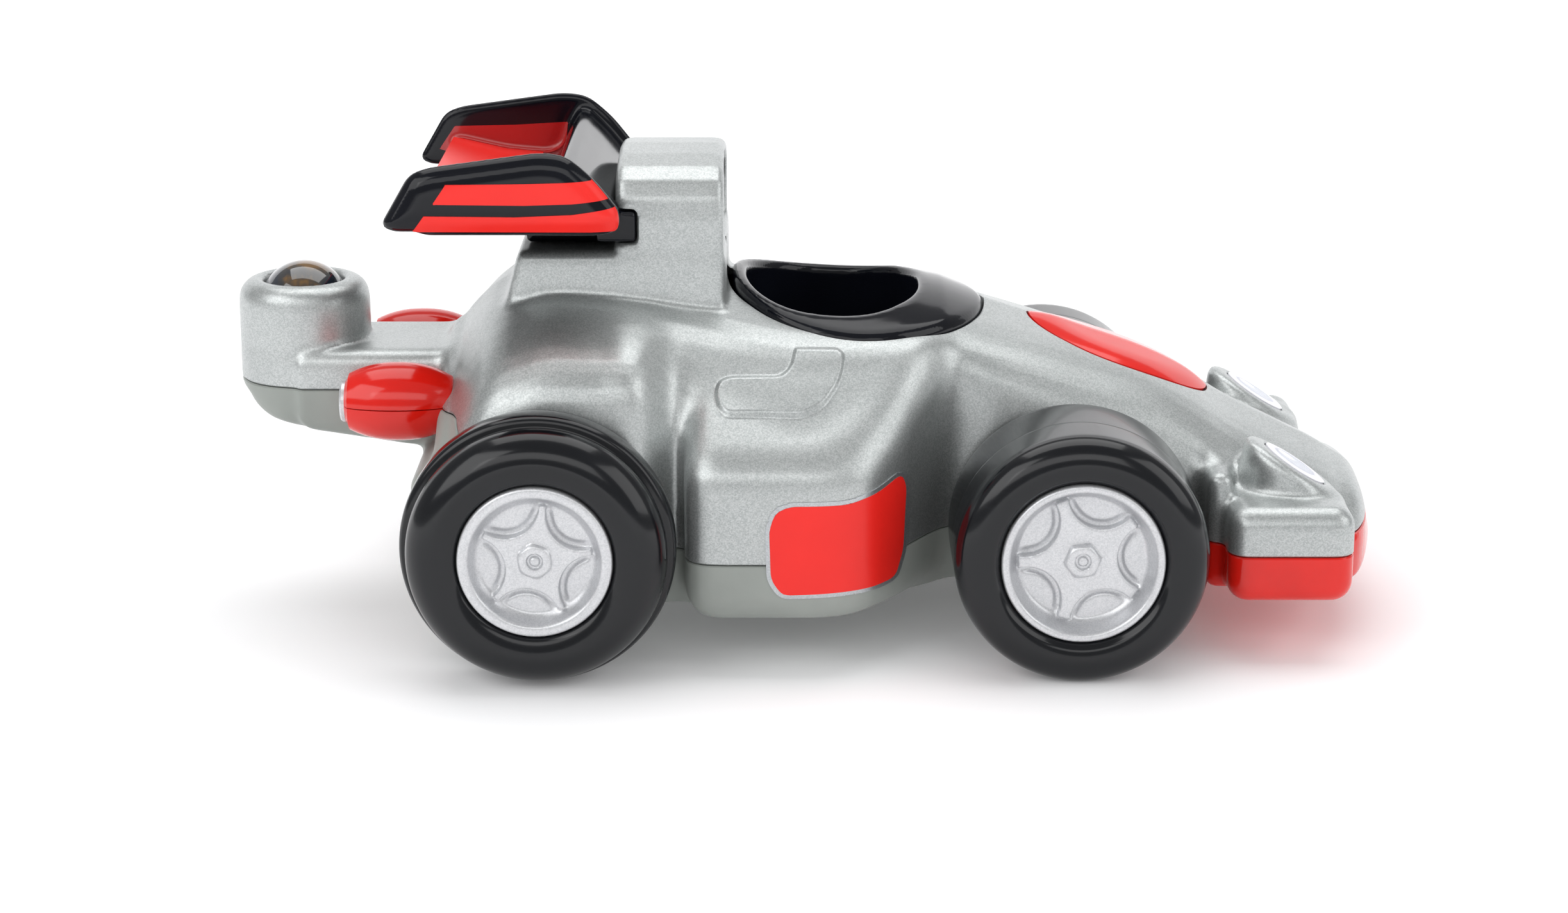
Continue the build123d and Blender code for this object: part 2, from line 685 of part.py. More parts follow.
# ---------------------------------------------------------------- exhausts
def exhaust(side, lower):
    """One half of a barrel-shaped exhaust: a turned shell cut in two along the seam."""
    middle = (EXHAUST_X0 + EXHAUST_X1) / 2
    axis_plane = Plane(origin=(0, side * EXHAUST_Y, TAIL_PART_Z), x_dir=(1, 0, 0), z_dir=(0, -1, 0))
    with BuildPart() as barrel:
        with BuildSketch(axis_plane):
            with BuildLine():
                outside = ThreePointArc(
                    (EXHAUST_X0, EXHAUST_R - 2.2), (middle, EXHAUST_R), (EXHAUST_X1, EXHAUST_R - 1.4)
                )
                Line(outside @ 1, (EXHAUST_X1, 0))
                Line((EXHAUST_X1, 0), (EXHAUST_X0, 0))
                Line((EXHAUST_X0, 0), outside @ 0)
            make_face()
            with BuildLine():
                Polyline(
                    (EXHAUST_X0 + 2.0, 0),
                    (EXHAUST_X0 + 2.0, EXHAUST_R - 3.8),
                    (middle, EXHAUST_R - 1.9),
                    (EXHAUST_X1 - 2.0, EXHAUST_R - 3.2),
                    (EXHAUST_X1 - 2.0, 0),
                    close=True,
                )
            make_face(mode=Mode.SUBTRACT)
            with BuildLine():
                Polyline(
                    (EXHAUST_X0 - 1, 0),
                    (EXHAUST_X0 - 1, 2.6),
                    (EXHAUST_X0 + 3, 2.6),
                    (EXHAUST_X0 + 3, 0),
                    close=True,
                )
            make_face(mode=Mode.SUBTRACT)
        revolve(axis=Axis((0, side * EXHAUST_Y, TAIL_PART_Z), (1, 0, 0)))
        with BuildSketch(section_plane(EXHAUST_X1 - 1.0)):
            with Locations((side * EXHAUST_Y, TAIL_PART_Z)):
                Circle(EXHAUST_PEG_R)
        extrude(amount=4.4)
        split(bisect_by=Plane.XY.offset(TAIL_PART_Z), keep=Keep.BOTTOM if lower else Keep.TOP)
    return barrel


def exhaust_tip(side):
    """Silver outlet: a dished disc with a stub that the two exhaust halves clasp."""
    axis_plane = Plane(origin=(0, side * EXHAUST_Y, TAIL_PART_Z), x_dir=(1, 0, 0), z_dir=(0, -1, 0))
    with BuildPart() as tip:
        with BuildSketch(axis_plane):
            with BuildLine():
                Polyline(
                    (EXHAUST_X0 + 4.0, 0),
                    (EXHAUST_X0 + 4.0, 3.6),
                    (EXHAUST_X0 + 2.0, 3.6),
                    (EXHAUST_X0 + 2.0, 2.6),
                    (EXHAUST_X0, 2.6),
                    (EXHAUST_X0, 4.4),
                    (EXHAUST_X0 - 1.1, 4.4),
                    (EXHAUST_X0 - 1.1, 3.4),
                    (EXHAUST_X0 - 0.3, 2.4),
                    (EXHAUST_X0 - 0.3, 0),
                    close=True,
                )
            make_face()
        revolve(axis=Axis((0, side * EXHAUST_Y, TAIL_PART_Z), (1, 0, 0)))
    return tip


# ---------------------------------------------------------------- wheels
def hub(x, z, side, rim_r, lip, face, nut, inner, turn):
    """Wheel centre: barrel, dished disc, five-armed star, raised pads and a moulded nut."""
    star_r = rim_r - 3.6
    with BuildPart() as wheel:
        with BuildSketch(wheel_profile_plane(x, z, side)):
            with BuildLine():
                Polyline(
                    (AXLE_R, inner),
                    (4.2, inner),
                    (4.2, face - 3.0),
                    (rim_r - 1.6, face - 3.0),
                    (rim_r - 1.6, inner + 3.0),
                    (rim_r, inner + 3.0),
                    (rim_r, lip - 0.8),
                    (rim_r + 0.5, lip - 0.5),
                    (rim_r + 0.5, lip),
                    (rim_r - 1.5, lip),
                    (rim_r - 2.6, face),
                    (AXLE_R, face),
                    close=True,
                )
            make_face()
        revolve(axis=wheel_axis(x, z))
        with BuildSketch(wheel_face_plane(x, z, side, face)):
            Circle(star_r)
            with PolarLocations(rim_r - 1.0, 5, start_angle=turn + 36.0):
                Circle(7.0, mode=Mode.SUBTRACT)
        extrude(amount=1.6)
        with BuildSketch(wheel_face_plane(x, z, side, face)):
            with PolarLocations(rim_r - 5.4, 5, start_angle=turn + 36.0):
                Ellipse(2.6, 5.2)
        extrude(amount=0.7)
        with BuildSketch(wheel_face_plane(x, z, side, face - 1.0)):
            Circle(4.6)
        extrude(amount=nut - face - 1.2)
        with BuildSketch(wheel_face_plane(x, z, side, face)):
            RegularPolygon(3.7, 6, rotation=turn)
        extrude(amount=nut - face)
        with BuildSketch(wheel_face_plane(x, z, side, nut)):
            Circle(1.5)
        extrude(amount=-0.7, mode=Mode.SUBTRACT)
        with BuildSketch(wheel_face_plane(x, z, side, inner)):
            Circle(AXLE_R)
        extrude(amount=face - inner - 0.8, mode=Mode.SUBTRACT)
    return wheel


def front_tyre(side):
    """Broad plain roller tyre with a bulging outer wall."""
    rim = FRONT_HUB_R
    with BuildPart() as tyre:
        with BuildSketch(wheel_profile_plane(FRONT_X, FRONT_R, side)):
            with BuildLine():
                Line((rim, FRONT_IN + 3.0), (rim, FRONT_OUT - 2.2))
                Line((rim, FRONT_OUT - 2.2), (rim + 0.8, FRONT_OUT - 1.4))
                ThreePointArc((rim + 0.8, FRONT_OUT - 1.4), (22.0, FRONT_OUT), (FRONT_R, FRONT_OUT - 6.0))
                Line((FRONT_R, FRONT_OUT - 6.0), (FRONT_R, FRONT_IN + 1.4))
                Line((FRONT_R, FRONT_IN + 1.4), (FRONT_R - 1.4, FRONT_IN))
                Line((FRONT_R - 1.4, FRONT_IN), (rim + 2.6, FRONT_IN))
                Line((rim + 2.6, FRONT_IN), (rim, FRONT_IN + 3.0))
            make_face()
        revolve(axis=wheel_axis(FRONT_X, FRONT_R))
    return tyre


def rear_tyre(side):
    """Tyre in two steps: a rounded outer ring, a groove and a larger tread behind it."""
    rim = REAR_HUB_R
    shoulder = REAR_R - 1.7
    step = REAR_OUT - 7.6
    with BuildPart() as tyre:
        with BuildSketch(wheel_profile_plane(REAR_X, REAR_R, side)):
            with BuildLine():
                Line((rim, REAR_IN + 3.0), (rim, REAR_OUT - 2.2))
                Line((rim, REAR_OUT - 2.2), (rim + 0.8, REAR_OUT - 1.4))
                ThreePointArc((rim + 0.8, REAR_OUT - 1.4), (22.4, REAR_OUT), (shoulder, REAR_OUT - 5.2))
                Line((shoulder, REAR_OUT - 5.2), (shoulder, step))
                Line((shoulder, step), (shoulder - 0.8, step - 0.4))
                Line((shoulder - 0.8, step - 0.4), (shoulder - 0.8, step - 1.0))
                Line((shoulder - 0.8, step - 1.0), (REAR_R, step - 2.6))
                Line((REAR_R, step - 2.6), (REAR_R, REAR_IN + 1.4))
                Line((REAR_R, REAR_IN + 1.4), (REAR_R - 1.4, REAR_IN))
                Line((REAR_R - 1.4, REAR_IN), (rim + 2.6, REAR_IN))
                Line((rim + 2.6, REAR_IN), (rim, REAR_IN + 3.0))
            make_face()
        revolve(axis=wheel_axis(REAR_X, REAR_R))
    return tyre


def axle(x, z, reach):
    with BuildPart() as rod:
        with BuildSketch(Plane(origin=(x, 0, z), x_dir=(1, 0, 0), z_dir=(0, -1, 0))):
            Circle(AXLE_R)
        extrude(amount=reach, both=True)
        chamfer(rod.edges().filter_by(GeomType.CIRCLE), 0.3)
    return rod


def axle_bush(x, z, side, wall_out):
    """Plain bush that sits in the seam of the shells, its flange on the inside."""
    with BuildPart() as bush:
        with BuildSketch(wheel_face_plane(x, z, side, wall_out - 4.2)):
            Circle(PRESS_R + 1.5)
        extrude(amount=1.6)
        with BuildSketch(wheel_face_plane(x, z, side, wall_out - 4.2)):
            Circle(PRESS_R)
        extrude(amount=4.5)
        with BuildSketch(wheel_face_plane(x, z, side, wall_out - 5.0)):
            Circle(AXLE_R + RUN_GAP)
        extrude(amount=6.0, mode=Mode.SUBTRACT)
    return bush


# ---------------------------------------------------------------- motor
def gear_outline(teeth, thick=0.86):
    """Corner points of a spur gear, each tooth a short trapezium."""
    pitch_r = MODULE * teeth / 2
    root_r = pitch_r - 1.15 * MODULE
    tip_r = pitch_r + 0.85 * MODULE
    points = []
    for tooth in range(teeth):
        middle = 2 * math.pi * tooth / teeth
        half = thick * math.pi / (2 * teeth)
        for radius, share in ((root_r, -1.55), (pitch_r, -1.0), (tip_r, -0.42),
                              (tip_r, 0.42), (pitch_r, 1.0), (root_r, 1.55)):
            angle = middle + share * half
            points.append((radius * math.cos(angle), radius * math.sin(angle)))
    return points


def gear_plane(x, z, y, turn):
    """Plane across the car at y, turned about its normal, which points to the right side."""
    rad = math.radians(turn)
    return Plane(origin=(x, y, z), x_dir=(math.cos(rad), 0, math.sin(rad)), z_dir=(0, -1, 0))


def gear_sketch(x, z, y_high, teeth, turn, bore):
    """One toothed profile, standing on the plane y = y_high and facing the car's right side."""
    with BuildSketch(gear_plane(x, z, y_high, turn)) as profile:
        with BuildLine():
            Polyline(*gear_outline(teeth), close=True)
        make_face()
        if bore:
            Circle(bore, mode=Mode.SUBTRACT)
    return profile.sketch


def disc_sketch(x, z, y_high, radius, bore=0):
    with BuildSketch(gear_plane(x, z, y_high, 0)) as profile:
        Circle(radius)
        if bore:
            Circle(bore, mode=Mode.SUBTRACT)
    return profile.sketch


PIN_R = 1.2
ARBOR_R = 2.0
GEAR_Y = -4.0
GEAR_W = 4.0

with BuildPart() as axle_gear:
    extrude(gear_sketch(REAR_X, REAR_R, GEAR_Y, AXLE_TEETH, IDLER_ANGLE, AXLE_R), amount=GEAR_W)

with BuildPart() as idler_gear:
    wheel_turn = 180 + IDLER_ANGLE + 180 / IDLER_TEETH
    extrude(gear_sketch(IDLER_X, IDLER_Z, GEAR_Y, IDLER_TEETH, wheel_turn, PIN_R + RUN_GAP), amount=GEAR_W)
    extrude(gear_sketch(IDLER_X, IDLER_Z, 2.0, PINION_TEETH, SPRING_ANGLE, PIN_R + RUN_GAP), amount=6.0)

with BuildPart() as spring_gear:
    wheel_turn = 180 + SPRING_ANGLE + 180 / SPRING_TEETH
    extrude(gear_sketch(SPRING_X, SPRING_Z, 1.5, SPRING_TEETH, wheel_turn, 0), amount=4.0)
    extrude(disc_sketch(SPRING_X, SPRING_Z, MOTOR_HALF - 0.4, ARBOR_R), amount=2 * MOTOR_HALF - 0.8)

with BuildPart() as idler_pin:
    extrude(disc_sketch(IDLER_X, IDLER_Z, MOTOR_HALF, PIN_R), amount=2 * MOTOR_HALF)


def spiral_points(r0, r1, turns, thick):
    """Outline of a flat coiled strip between two radii."""
    steps = int(turns * 20)
    outside = []
    inside = []
    for i in range(steps + 1):
        share = i / steps
        angle = 2 * math.pi * turns * share
        radius = r0 + (r1 - r0) * share
        outside.append(((radius + thick) * math.cos(angle), (radius + thick) * math.sin(angle)))
        inside.append((radius * math.cos(angle), radius * math.sin(angle)))
    return outside + inside[::-1]


with BuildPart() as mainspring:
    with BuildSketch(gear_plane(SPRING_X, SPRING_Z, 9.5, 0)):
        with BuildLine():
            Polyline(*spiral_points(2.9, 10.6, 5, 0.5), close=True)
        make_face()
    extrude(amount=6.5)

with BuildPart() as spring_cup:
    extrude(disc_sketch(SPRING_X, SPRING_Z, MOTOR_HALF - MOTOR_WALL, 12.8, 11.6), amount=8.3)

MOTOR_SCREWS = [(MOTOR_X0 + 4.2, MOTOR_Z0 + 5.0), (MOTOR_X1 - 4.2, MOTOR_Z1 - 5.0)]
MOTOR_MID = ((MOTOR_X0 + MOTOR_X1) / 2, (MOTOR_Z0 + MOTOR_Z1) / 2)
MOTOR_SIZE = (MOTOR_X1 - MOTOR_X0, MOTOR_Z1 - MOTOR_Z0)


def motor_housing(side):
    """Half of the motor's gearbox: a rounded tray with bearing holes and screw posts."""
    closing = Plane(origin=(MOTOR_MID[0], 0, MOTOR_MID[1]), x_dir=(1, 0, 0), z_dir=(0, -1, 0))
    outwards = -side
    with BuildPart() as tray:
        with BuildSketch(closing):
            RectangleRounded(MOTOR_SIZE[0], MOTOR_SIZE[1], 3.0)
        extrude(amount=outwards * MOTOR_HALF)
        with BuildSketch(closing):
            RectangleRounded(MOTOR_SIZE[0] - 2 * MOTOR_WALL, MOTOR_SIZE[1] - 2 * MOTOR_WALL, 1.4)
        extrude(amount=outwards * (MOTOR_HALF - MOTOR_WALL), mode=Mode.SUBTRACT)
        for x, z in MOTOR_SCREWS:
            extrude(disc_sketch(x, z, 0, 2.9), amount=outwards * MOTOR_HALF)
            extrude(disc_sketch(x, z, 9.0, 1.0), amount=30, mode=Mode.SUBTRACT)
        extrude(disc_sketch(REAR_X, REAR_R, 20, AXLE_R + RUN_GAP), amount=40, mode=Mode.SUBTRACT)
        extrude(disc_sketch(IDLER_X, IDLER_Z, 20, PIN_R), amount=40, mode=Mode.SUBTRACT)
        extrude(disc_sketch(SPRING_X, SPRING_Z, 20, ARBOR_R + RUN_GAP), amount=40, mode=Mode.SUBTRACT)
    return tray


with BuildPart() as motor_screws:
    for x, z in MOTOR_SCREWS:
        extrude(disc_sketch(x, z, 9.0, 1.0), amount=9.0 + MOTOR_HALF)
        extrude(disc_sketch(x, z, -MOTOR_HALF, 2.0), amount=1.4)
        with BuildSketch(gear_plane(x, z, -MOTOR_HALF - 1.4, 45)):
            Rectangle(2.6, 0.5)
            Rectangle(0.5, 2.6)
        extrude(amount=-0.8, mode=Mode.SUBTRACT)

# ---------------------------------------------------------------- stickers on the wing
with BuildPart() as wing_deck_label:
    with BuildSketch(Plane.XZ):
        with BuildLine():
            deck = DECK_LINE[:3]
            Polyline(*deck, *[(x, z + SKIN) for x, z in reversed(deck)], close=True)
        make_face()
    extrude(amount=34.0, both=True)

# ---------------------------------------------------------------- hand over every piece
for piece, name in ((upper_shell, "upper_shell"), (lower_shell, "lower_shell"), (front_bumper, "front_bumper"),
                    (cockpit_tub, "cockpit_tub"), (nose_badge, "nose_badge"), (rear_wing, "rear_wing"),
                    (tail_ball, "tail_ball"), (ball_seat, "ball_seat"), (axle_gear, "axle_gear"),
                    (idler_gear, "idler_gear"), (spring_gear, "spring_gear"), (idler_pin, "idler_pin"),
                    (mainspring, "mainspring"), (spring_cup, "spring_cup"), (motor_screws, "motor_screws"),
                    (wing_deck_label, "wing_deck_label")):
    finish(piece, name)
body_places = [(x, y, seat, shank) for x, y, joint, seat, shank in BODY_SCREWS]
finish(screw_set(body_places), "body_screws")
finish(screw_set([(x, y, DECK_TOP - WALL, 9.0) for x, y in WING_SCREWS]), "wing_screws")
finish(axle(FRONT_X, FRONT_R, 57.0), "front_axle")
finish(axle(REAR_X, REAR_R, 64.5), "rear_axle")
pods_inner = side_pods(0)
pods_outer = side_pods(-SKIN)
for label, side in SIDES.items():
    finish(skin_on(LABEL, pods_inner, pods_outer, side), f"side_label_{label}")
    finish(flat_sticker(STRIPE_UPPER, side * WING_HALF, side * (WING_HALF + SKIN)), f"stripe_upper_{label}")
    finish(flat_sticker(STRIPE_LOWER, side * WING_HALF, side * (WING_HALF + SKIN)), f"stripe_lower_{label}")
    inner_face = side * (WING_HALF - PLATE_T)
    finish(flat_sticker(INNER_PANEL, inner_face, inner_face - side * SKIN), f"inner_label_{label}")
    finish(lamp_lens(side), f"lamp_lens_{label}")
    finish(motor_housing(side), f"motor_housing_{label}")
    finish(exhaust(side, False), f"exhaust_upper_{label}")
    finish(exhaust(side, True), f"exhaust_lower_{label}")
    finish(exhaust_tip(side), f"exhaust_tip_{label}")
    finish(front_tyre(side), f"front_tyre_{label}")
    finish(rear_tyre(side), f"rear_tyre_{label}")
    finish(hub(FRONT_X, FRONT_R, side, FRONT_HUB_R, FRONT_OUT - 0.8, 58.6, 62.4, 33.0, 38.0),
           f"front_hub_{label}")
    finish(hub(REAR_X, REAR_R, side, REAR_HUB_R, REAR_OUT - 0.6, 66.0, 69.2, 54.0, 9.0), f"rear_hub_{label}")
    finish(axle_bush(FRONT_X, FRONT_R, side, FRONT_WALL), f"front_bush_{label}")
    finish(axle_bush(REAR_X, REAR_R, side, REAR_WALL), f"rear_bush_{label}")
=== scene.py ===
"""Looks of the pull back race car: moulded shells, glossy tub and wing, tyres, wheels, stickers.

Lengths in the shape code are millimetres in the frame of the model: nose along +X, +Z up and
the ground at z = 0. Curved pieces are meshed from distance fields: negative inside, positive
outside. Materials, lights and the camera are in metres.
"""
import math

import bpy
import numpy as np
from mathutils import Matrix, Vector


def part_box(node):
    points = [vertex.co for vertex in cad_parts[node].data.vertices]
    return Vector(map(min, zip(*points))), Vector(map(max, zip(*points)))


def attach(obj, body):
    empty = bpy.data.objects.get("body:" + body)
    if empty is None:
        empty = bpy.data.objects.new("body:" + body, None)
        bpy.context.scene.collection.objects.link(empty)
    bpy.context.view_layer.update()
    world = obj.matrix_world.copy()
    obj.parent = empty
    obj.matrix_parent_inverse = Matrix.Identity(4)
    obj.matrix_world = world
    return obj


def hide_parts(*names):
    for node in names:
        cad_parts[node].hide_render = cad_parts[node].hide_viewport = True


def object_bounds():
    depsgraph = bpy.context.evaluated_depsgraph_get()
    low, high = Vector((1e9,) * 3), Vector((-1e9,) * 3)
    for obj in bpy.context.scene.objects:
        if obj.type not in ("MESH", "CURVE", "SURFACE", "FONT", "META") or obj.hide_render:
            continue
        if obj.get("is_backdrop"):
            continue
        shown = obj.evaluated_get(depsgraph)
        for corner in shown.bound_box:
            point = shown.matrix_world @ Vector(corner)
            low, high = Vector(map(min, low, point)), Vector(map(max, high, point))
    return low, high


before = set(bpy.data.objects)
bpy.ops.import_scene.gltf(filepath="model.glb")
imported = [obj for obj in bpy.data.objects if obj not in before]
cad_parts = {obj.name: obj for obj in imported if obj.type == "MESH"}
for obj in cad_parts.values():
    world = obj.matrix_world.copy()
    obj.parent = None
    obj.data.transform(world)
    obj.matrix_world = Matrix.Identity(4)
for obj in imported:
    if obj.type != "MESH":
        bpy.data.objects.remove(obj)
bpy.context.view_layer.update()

import openvdb

MM = 0.001
SIDES = ((1, "left"), (-1, "right"))


def span(node):
    """Lowest and highest corner of a CAD piece, in mm."""
    low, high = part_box(node)
    return [1000 * v for v in low], [1000 * v for v in high]


def middle(node):
    low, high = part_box(node)
    return [500 * (a + b) for a, b in zip(low, high)]


# -------- measures, from the frame
FRONT_X, _, FRONT_Z = middle("front_axle")
REAR_X, _, REAR_Z = middle("rear_axle")
POD_X, _, BALL_Z = middle("tail_ball")
BALL_R = 500 * (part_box("tail_ball")[1][0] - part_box("tail_ball")[0][0])
NOSE_X = span("front_bumper")[1][0]
TAIL_X = span("upper_shell")[0][0]
FLOOR = span("lower_shell")[0][2]
FRONT_OUT = span("front_tyre_left")[1][1]
REAR_OUT = span("rear_tyre_left")[1][1]
FRONT_R = span("front_tyre_left")[1][2] - FRONT_Z
REAR_R = span("rear_tyre_left")[1][2] - REAR_Z
POD_R = POD_X - TAIL_X

# -------- lines read off the photograph
# Half outlines (y, z) of the hull, from the crown to the floor, at stations along x.
HULL = [
    (-77.4, [(0, 66.3), (18, 61.8), (34, 54), (45, 46), (49, 37), (50, 22), (46, 13)]),
    (-70, [(0, 73.2), (20, 71), (37, 65), (48, 57), (51.5, 46), (52, 22), (47, 12.3)]),
    (-60, [(0, 77), (22, 75.3), (38, 70), (48.5, 63), (52.3, 53), (52, 22), (47, 12)]),
    (-45, [(0, 77), (24, 75.2), (39, 70.3), (49, 64), (52.4, 53), (52, 22), (47, 12)]),
    (-36, [(0, 76.5), (25, 74.2), (39, 69.6), (48.5, 63), (51.5, 52), (51.5, 22), (47, 12)]),
    (-28, [(0, 76), (25, 73), (37, 65), (43.5, 54), (45, 42), (45.5, 22), (43, 12)]),
    (0, [(0, 75), (31, 68.5), (40, 61.5), (47, 52), (48, 42), (48, 22), (44, 12)]),
    (20, [(0, 74), (28, 67.6), (34.5, 62.5), (37, 54), (37, 42), (36.5, 21), (31, 12)]),
    (30, [(0, 72.8), (23, 67.8), (29.5, 63), (31, 55), (31, 42), (31, 22), (27, 12)]),
    (42, [(0, 69.0), (20, 65.4), (28.5, 60.4), (31, 52), (31, 42), (31, 22), (27, 12)]),
    (60, [(0, 62.9), (17, 60.4), (27.5, 55.2), (31, 47.4), (31, 40), (31, 22), (27, 12)]),
    (80, [(0, 55.4), (17, 52.8), (27, 47.6), (31, 40.4), (31, 34), (31, 22), (27, 12)]),
    (87, [(0, 51.6), (17, 48.9), (28, 43.2), (31.2, 37.6), (31.2, 31), (31.2, 22), (27.4, 12.1)]),
    (94, [(0, 47.4), (17, 44.3), (28, 38.6), (33, 33.5), (34, 28), (34, 21), (30, 12.4)]),
    (108, [(0, 40.4), (17, 37.2), (28, 32.4), (36, 28), (38, 25), (38.5, 19.5), (35, 12.4)]),
    (118, [(0, 35.1), (17, 32), (27, 28), (34, 24.8), (36, 22), (36, 18), (33, 12.8)]),
    (125.5, [(0, 28.3), (14, 27), (21, 25), (26, 23), (27, 21), (27, 17.5), (25, 13.5)]),
    (NOSE_X, [(0, 23), (8, 22.6), (13, 22), (17, 21), (18, 19.5), (18, 17.5), (16, 15.5)]),
]
# The side pods seen from above (x, y) and from the front (y, z).
POD_PLAN = [(-26.6, -9), (-26.6, 61.5), (3, 61.5), (12, 57), (20, 47), (28.6, 32), (28.6, -9)]
POD_RISE = [(-9, 70), (33, 67), (40, 61.5), (60, 45.5), (61.5, 42), (61.5, 17), (57, FLOOR),
            (-9, FLOOR)]
# The boom with its pod and the engine deck seen from the side (x, z), the tower from the front.
TAIL_SIDE = [(-128.4, 61), (-60, 61), (-60, 38), (-88, 38.8), (-106, 41.6), (-114, 42.8),
             (-120.5, 44.2), (-124.8, 46.6), (-127.3, 49.5), (-128.4, 53)]
DECK_SIDE = [(-66.6, 60), (-66.2, 74), (-63.2, 85.3), (-18.3, 85.3), (-18.3, 60)]
TOWER_FRONT, TOWER_BACK, TOWER_TOP = -18.3, -42.0, 105.0
TOWER_HALF = [(24, 64), (24, 92), (23.4, 96.8), (21.2, 100.6), (17, 102.9), (10, 104.3)]
TOWER_ARCH = [(-u, v) for u, v in TOWER_HALF] + [(0, TOWER_TOP)] + TOWER_HALF[::-1]
# Where the upper shell meets the lower one and the bumper, and where the bumper starts.
SEAM = [(-160, 52.3), (-76, 52.3), (-66, REAR_Z), (-40, REAR_Z), (-31, 25.2), (32, 25.2),
        (38, FRONT_Z), (78, FRONT_Z), (86, 24.2), (160, 24.2)]
BUMPER_X = 86.0
# The label and the raised outline on the side of a pod (x, z).
LABEL = [(-8.5, 33.4), (-7.2, 37.0), (-4.1, 38.4), (8.1, 38.4), (14.7, 40.0), (19.5, 42.1),
         (20.6, 38.9), (20.0, 25.0), (18.3, 19.6), (14.9, 19.4), (-5.8, 18.8), (-8.2, 22.3)]
RELIEF = [(-3.3, 67.2), (6.3, 67.0), (7.9, 65.9), (7.6, 62.9), (6.5, 60.1), (3.4, 56.4),
          (-1.2, 54.5), (-17.9, 54.5), (-19.9, 56.4), (-20.5, 59.0), (-19.5, 61.2),
          (-17.0, 62.0), (-6.2, 62.3), (-4.3, 63.8), (-3.7, 65.9)]
# Ovals seen from above: middle along x, half length and half width.
COCKPIT = (10.7, 29.0, 33.0)
SEAT = (5.4, 19.0, 24.2)
BADGE = (70.0, 20.7, 14.6)
# Middle (x, y, z) of a lamp and how far it leans forward, then its half length and half width.
LAMP = (106.2, 31.0, 39.7, math.radians(32.5))
LENS = (7.9, 7.4)
LAMP_BOSS = (11.0, 10.2)
# Boxes with round edges: middle, size and radius.
FENDER = (89.2, 32.5, 26.6), (5.6, 15.0, 26.0), 2.6
CORNER = (103.6, 41.0, 24.0), (27.2, 19.4, 21.2), 4.6
REAR_BOX = (-76, 0, 27.4), (20, 91, 28.4), 5
REAR_END = -81.0
DECK_HALF, DECK_TOP = 24, 85.3
BOOM_HALF = 16.4
POD_RIM, POD_FLOOR, MOUTH_R = 74.7, 50, 8.9
TONGUE_HALF, TONGUE_Z = 20.4, 90.7

SCREWS = [(-14, 36), (-14, -36), (76, 17), (76, -17), (SEAT[0], 0)]
TAIL_SCREW = (-93.0, 0.0)
SCREW_HOLE = 3.1
AXLE_HOLE = 3.6
GAP = 0.22  # between the pieces of the body
RIM = 0.3  # width of the rounded edge along that gap


# -------- distance helpers
def smax(a, b, k):
    """The larger of two distances, blended over k."""
    h = np.maximum(k - np.abs(a - b), 0.0)
    return np.maximum(a, b) + h * h / (4 * k)


def smin(a, b, k):
    return -smax(-a, -b, k)


def outline(points, u, v):
    """Signed distance from (u, v) to a closed polygon."""
    u, v = np.asarray(u, np.float32), np.asarray(v, np.float32)
    best = np.full(np.broadcast(u, v).shape, 1e12, np.float32)
    odd = np.zeros(best.shape, bool)
    for (x0, y0), (x1, y1) in zip(points, points[1:] + points[:1]):
        ex, ey = x1 - x0, y1 - y0
        length = ex * ex + ey * ey
        if length < 1e-9:
            continue
        t = np.clip(((u - x0) * ex + (v - y0) * ey) / length, 0.0, 1.0)
        best = np.minimum(best, (u - x0 - t * ex) ** 2 + (v - y0 - t * ey) ** 2)
        if ey:
            crosses = (v < max(y0, y1)) & (v >= min(y0, y1))
            odd ^= crosses & (u < x0 + (v - y0) * ex / ey)
    return np.where(odd, -1.0, 1.0).astype(np.float32) * np.sqrt(best)


def ellipse(u, v, a, b):
    """Nearly the distance to an ellipse with half axes a and b."""
    near = np.sqrt((u / a) ** 2 + (v / b) ** 2) + 1e-6
    slope = np.sqrt((u / a ** 2) ** 2 + (v / b ** 2) ** 2) + 1e-6
    return near * (near - 1.0) / slope


def rounded(points, radius, steps=5):
    """A closed outline with its corners cut round."""
    made = []
    count = len(points)
    for i in range(count):
        before, at, after = (np.array(points[(i + k) % count], float) for k in (-1, 0, 1))
        first, second = before - at, after - at
        reach = min(radius, 0.45 * np.hypot(*first), 0.45 * np.hypot(*second))
        start = at + first / np.hypot(*first) * reach
        end = at + second / np.hypot(*second) * reach
        for t in np.linspace(0, 1, steps):
            p = (1 - t) ** 2 * start + 2 * t * (1 - t) * at + t * t * end
            made.append((float(p[0]), float(p[1])))
    return made


def curve_through(points, steps):
    """Catmull-Rom points through an open line, steps to each of its parts."""
    p = np.array(points, float)
    p = np.vstack([2 * p[0] - p[1], p, 2 * p[-1] - p[-2]])
    made = []
    for i in range(1, len(p) - 2):
        for t in np.linspace(0, 1, steps, endpoint=False):
            a, b, c, d = p[i - 1:i + 3]
            made.append(0.5 * (2 * b + (c - a) * t + (2 * a - 5 * b + 4 * c - d) * t ** 2
                               + (3 * b - a - 3 * c + d) * t ** 3))
    made.append(p[-2])
    return made


def crown(x):
    """Height of the hull's middle line."""
    return np.interp(x, [s for s, _ in HULL], [half[0][1] for _, half in HULL])


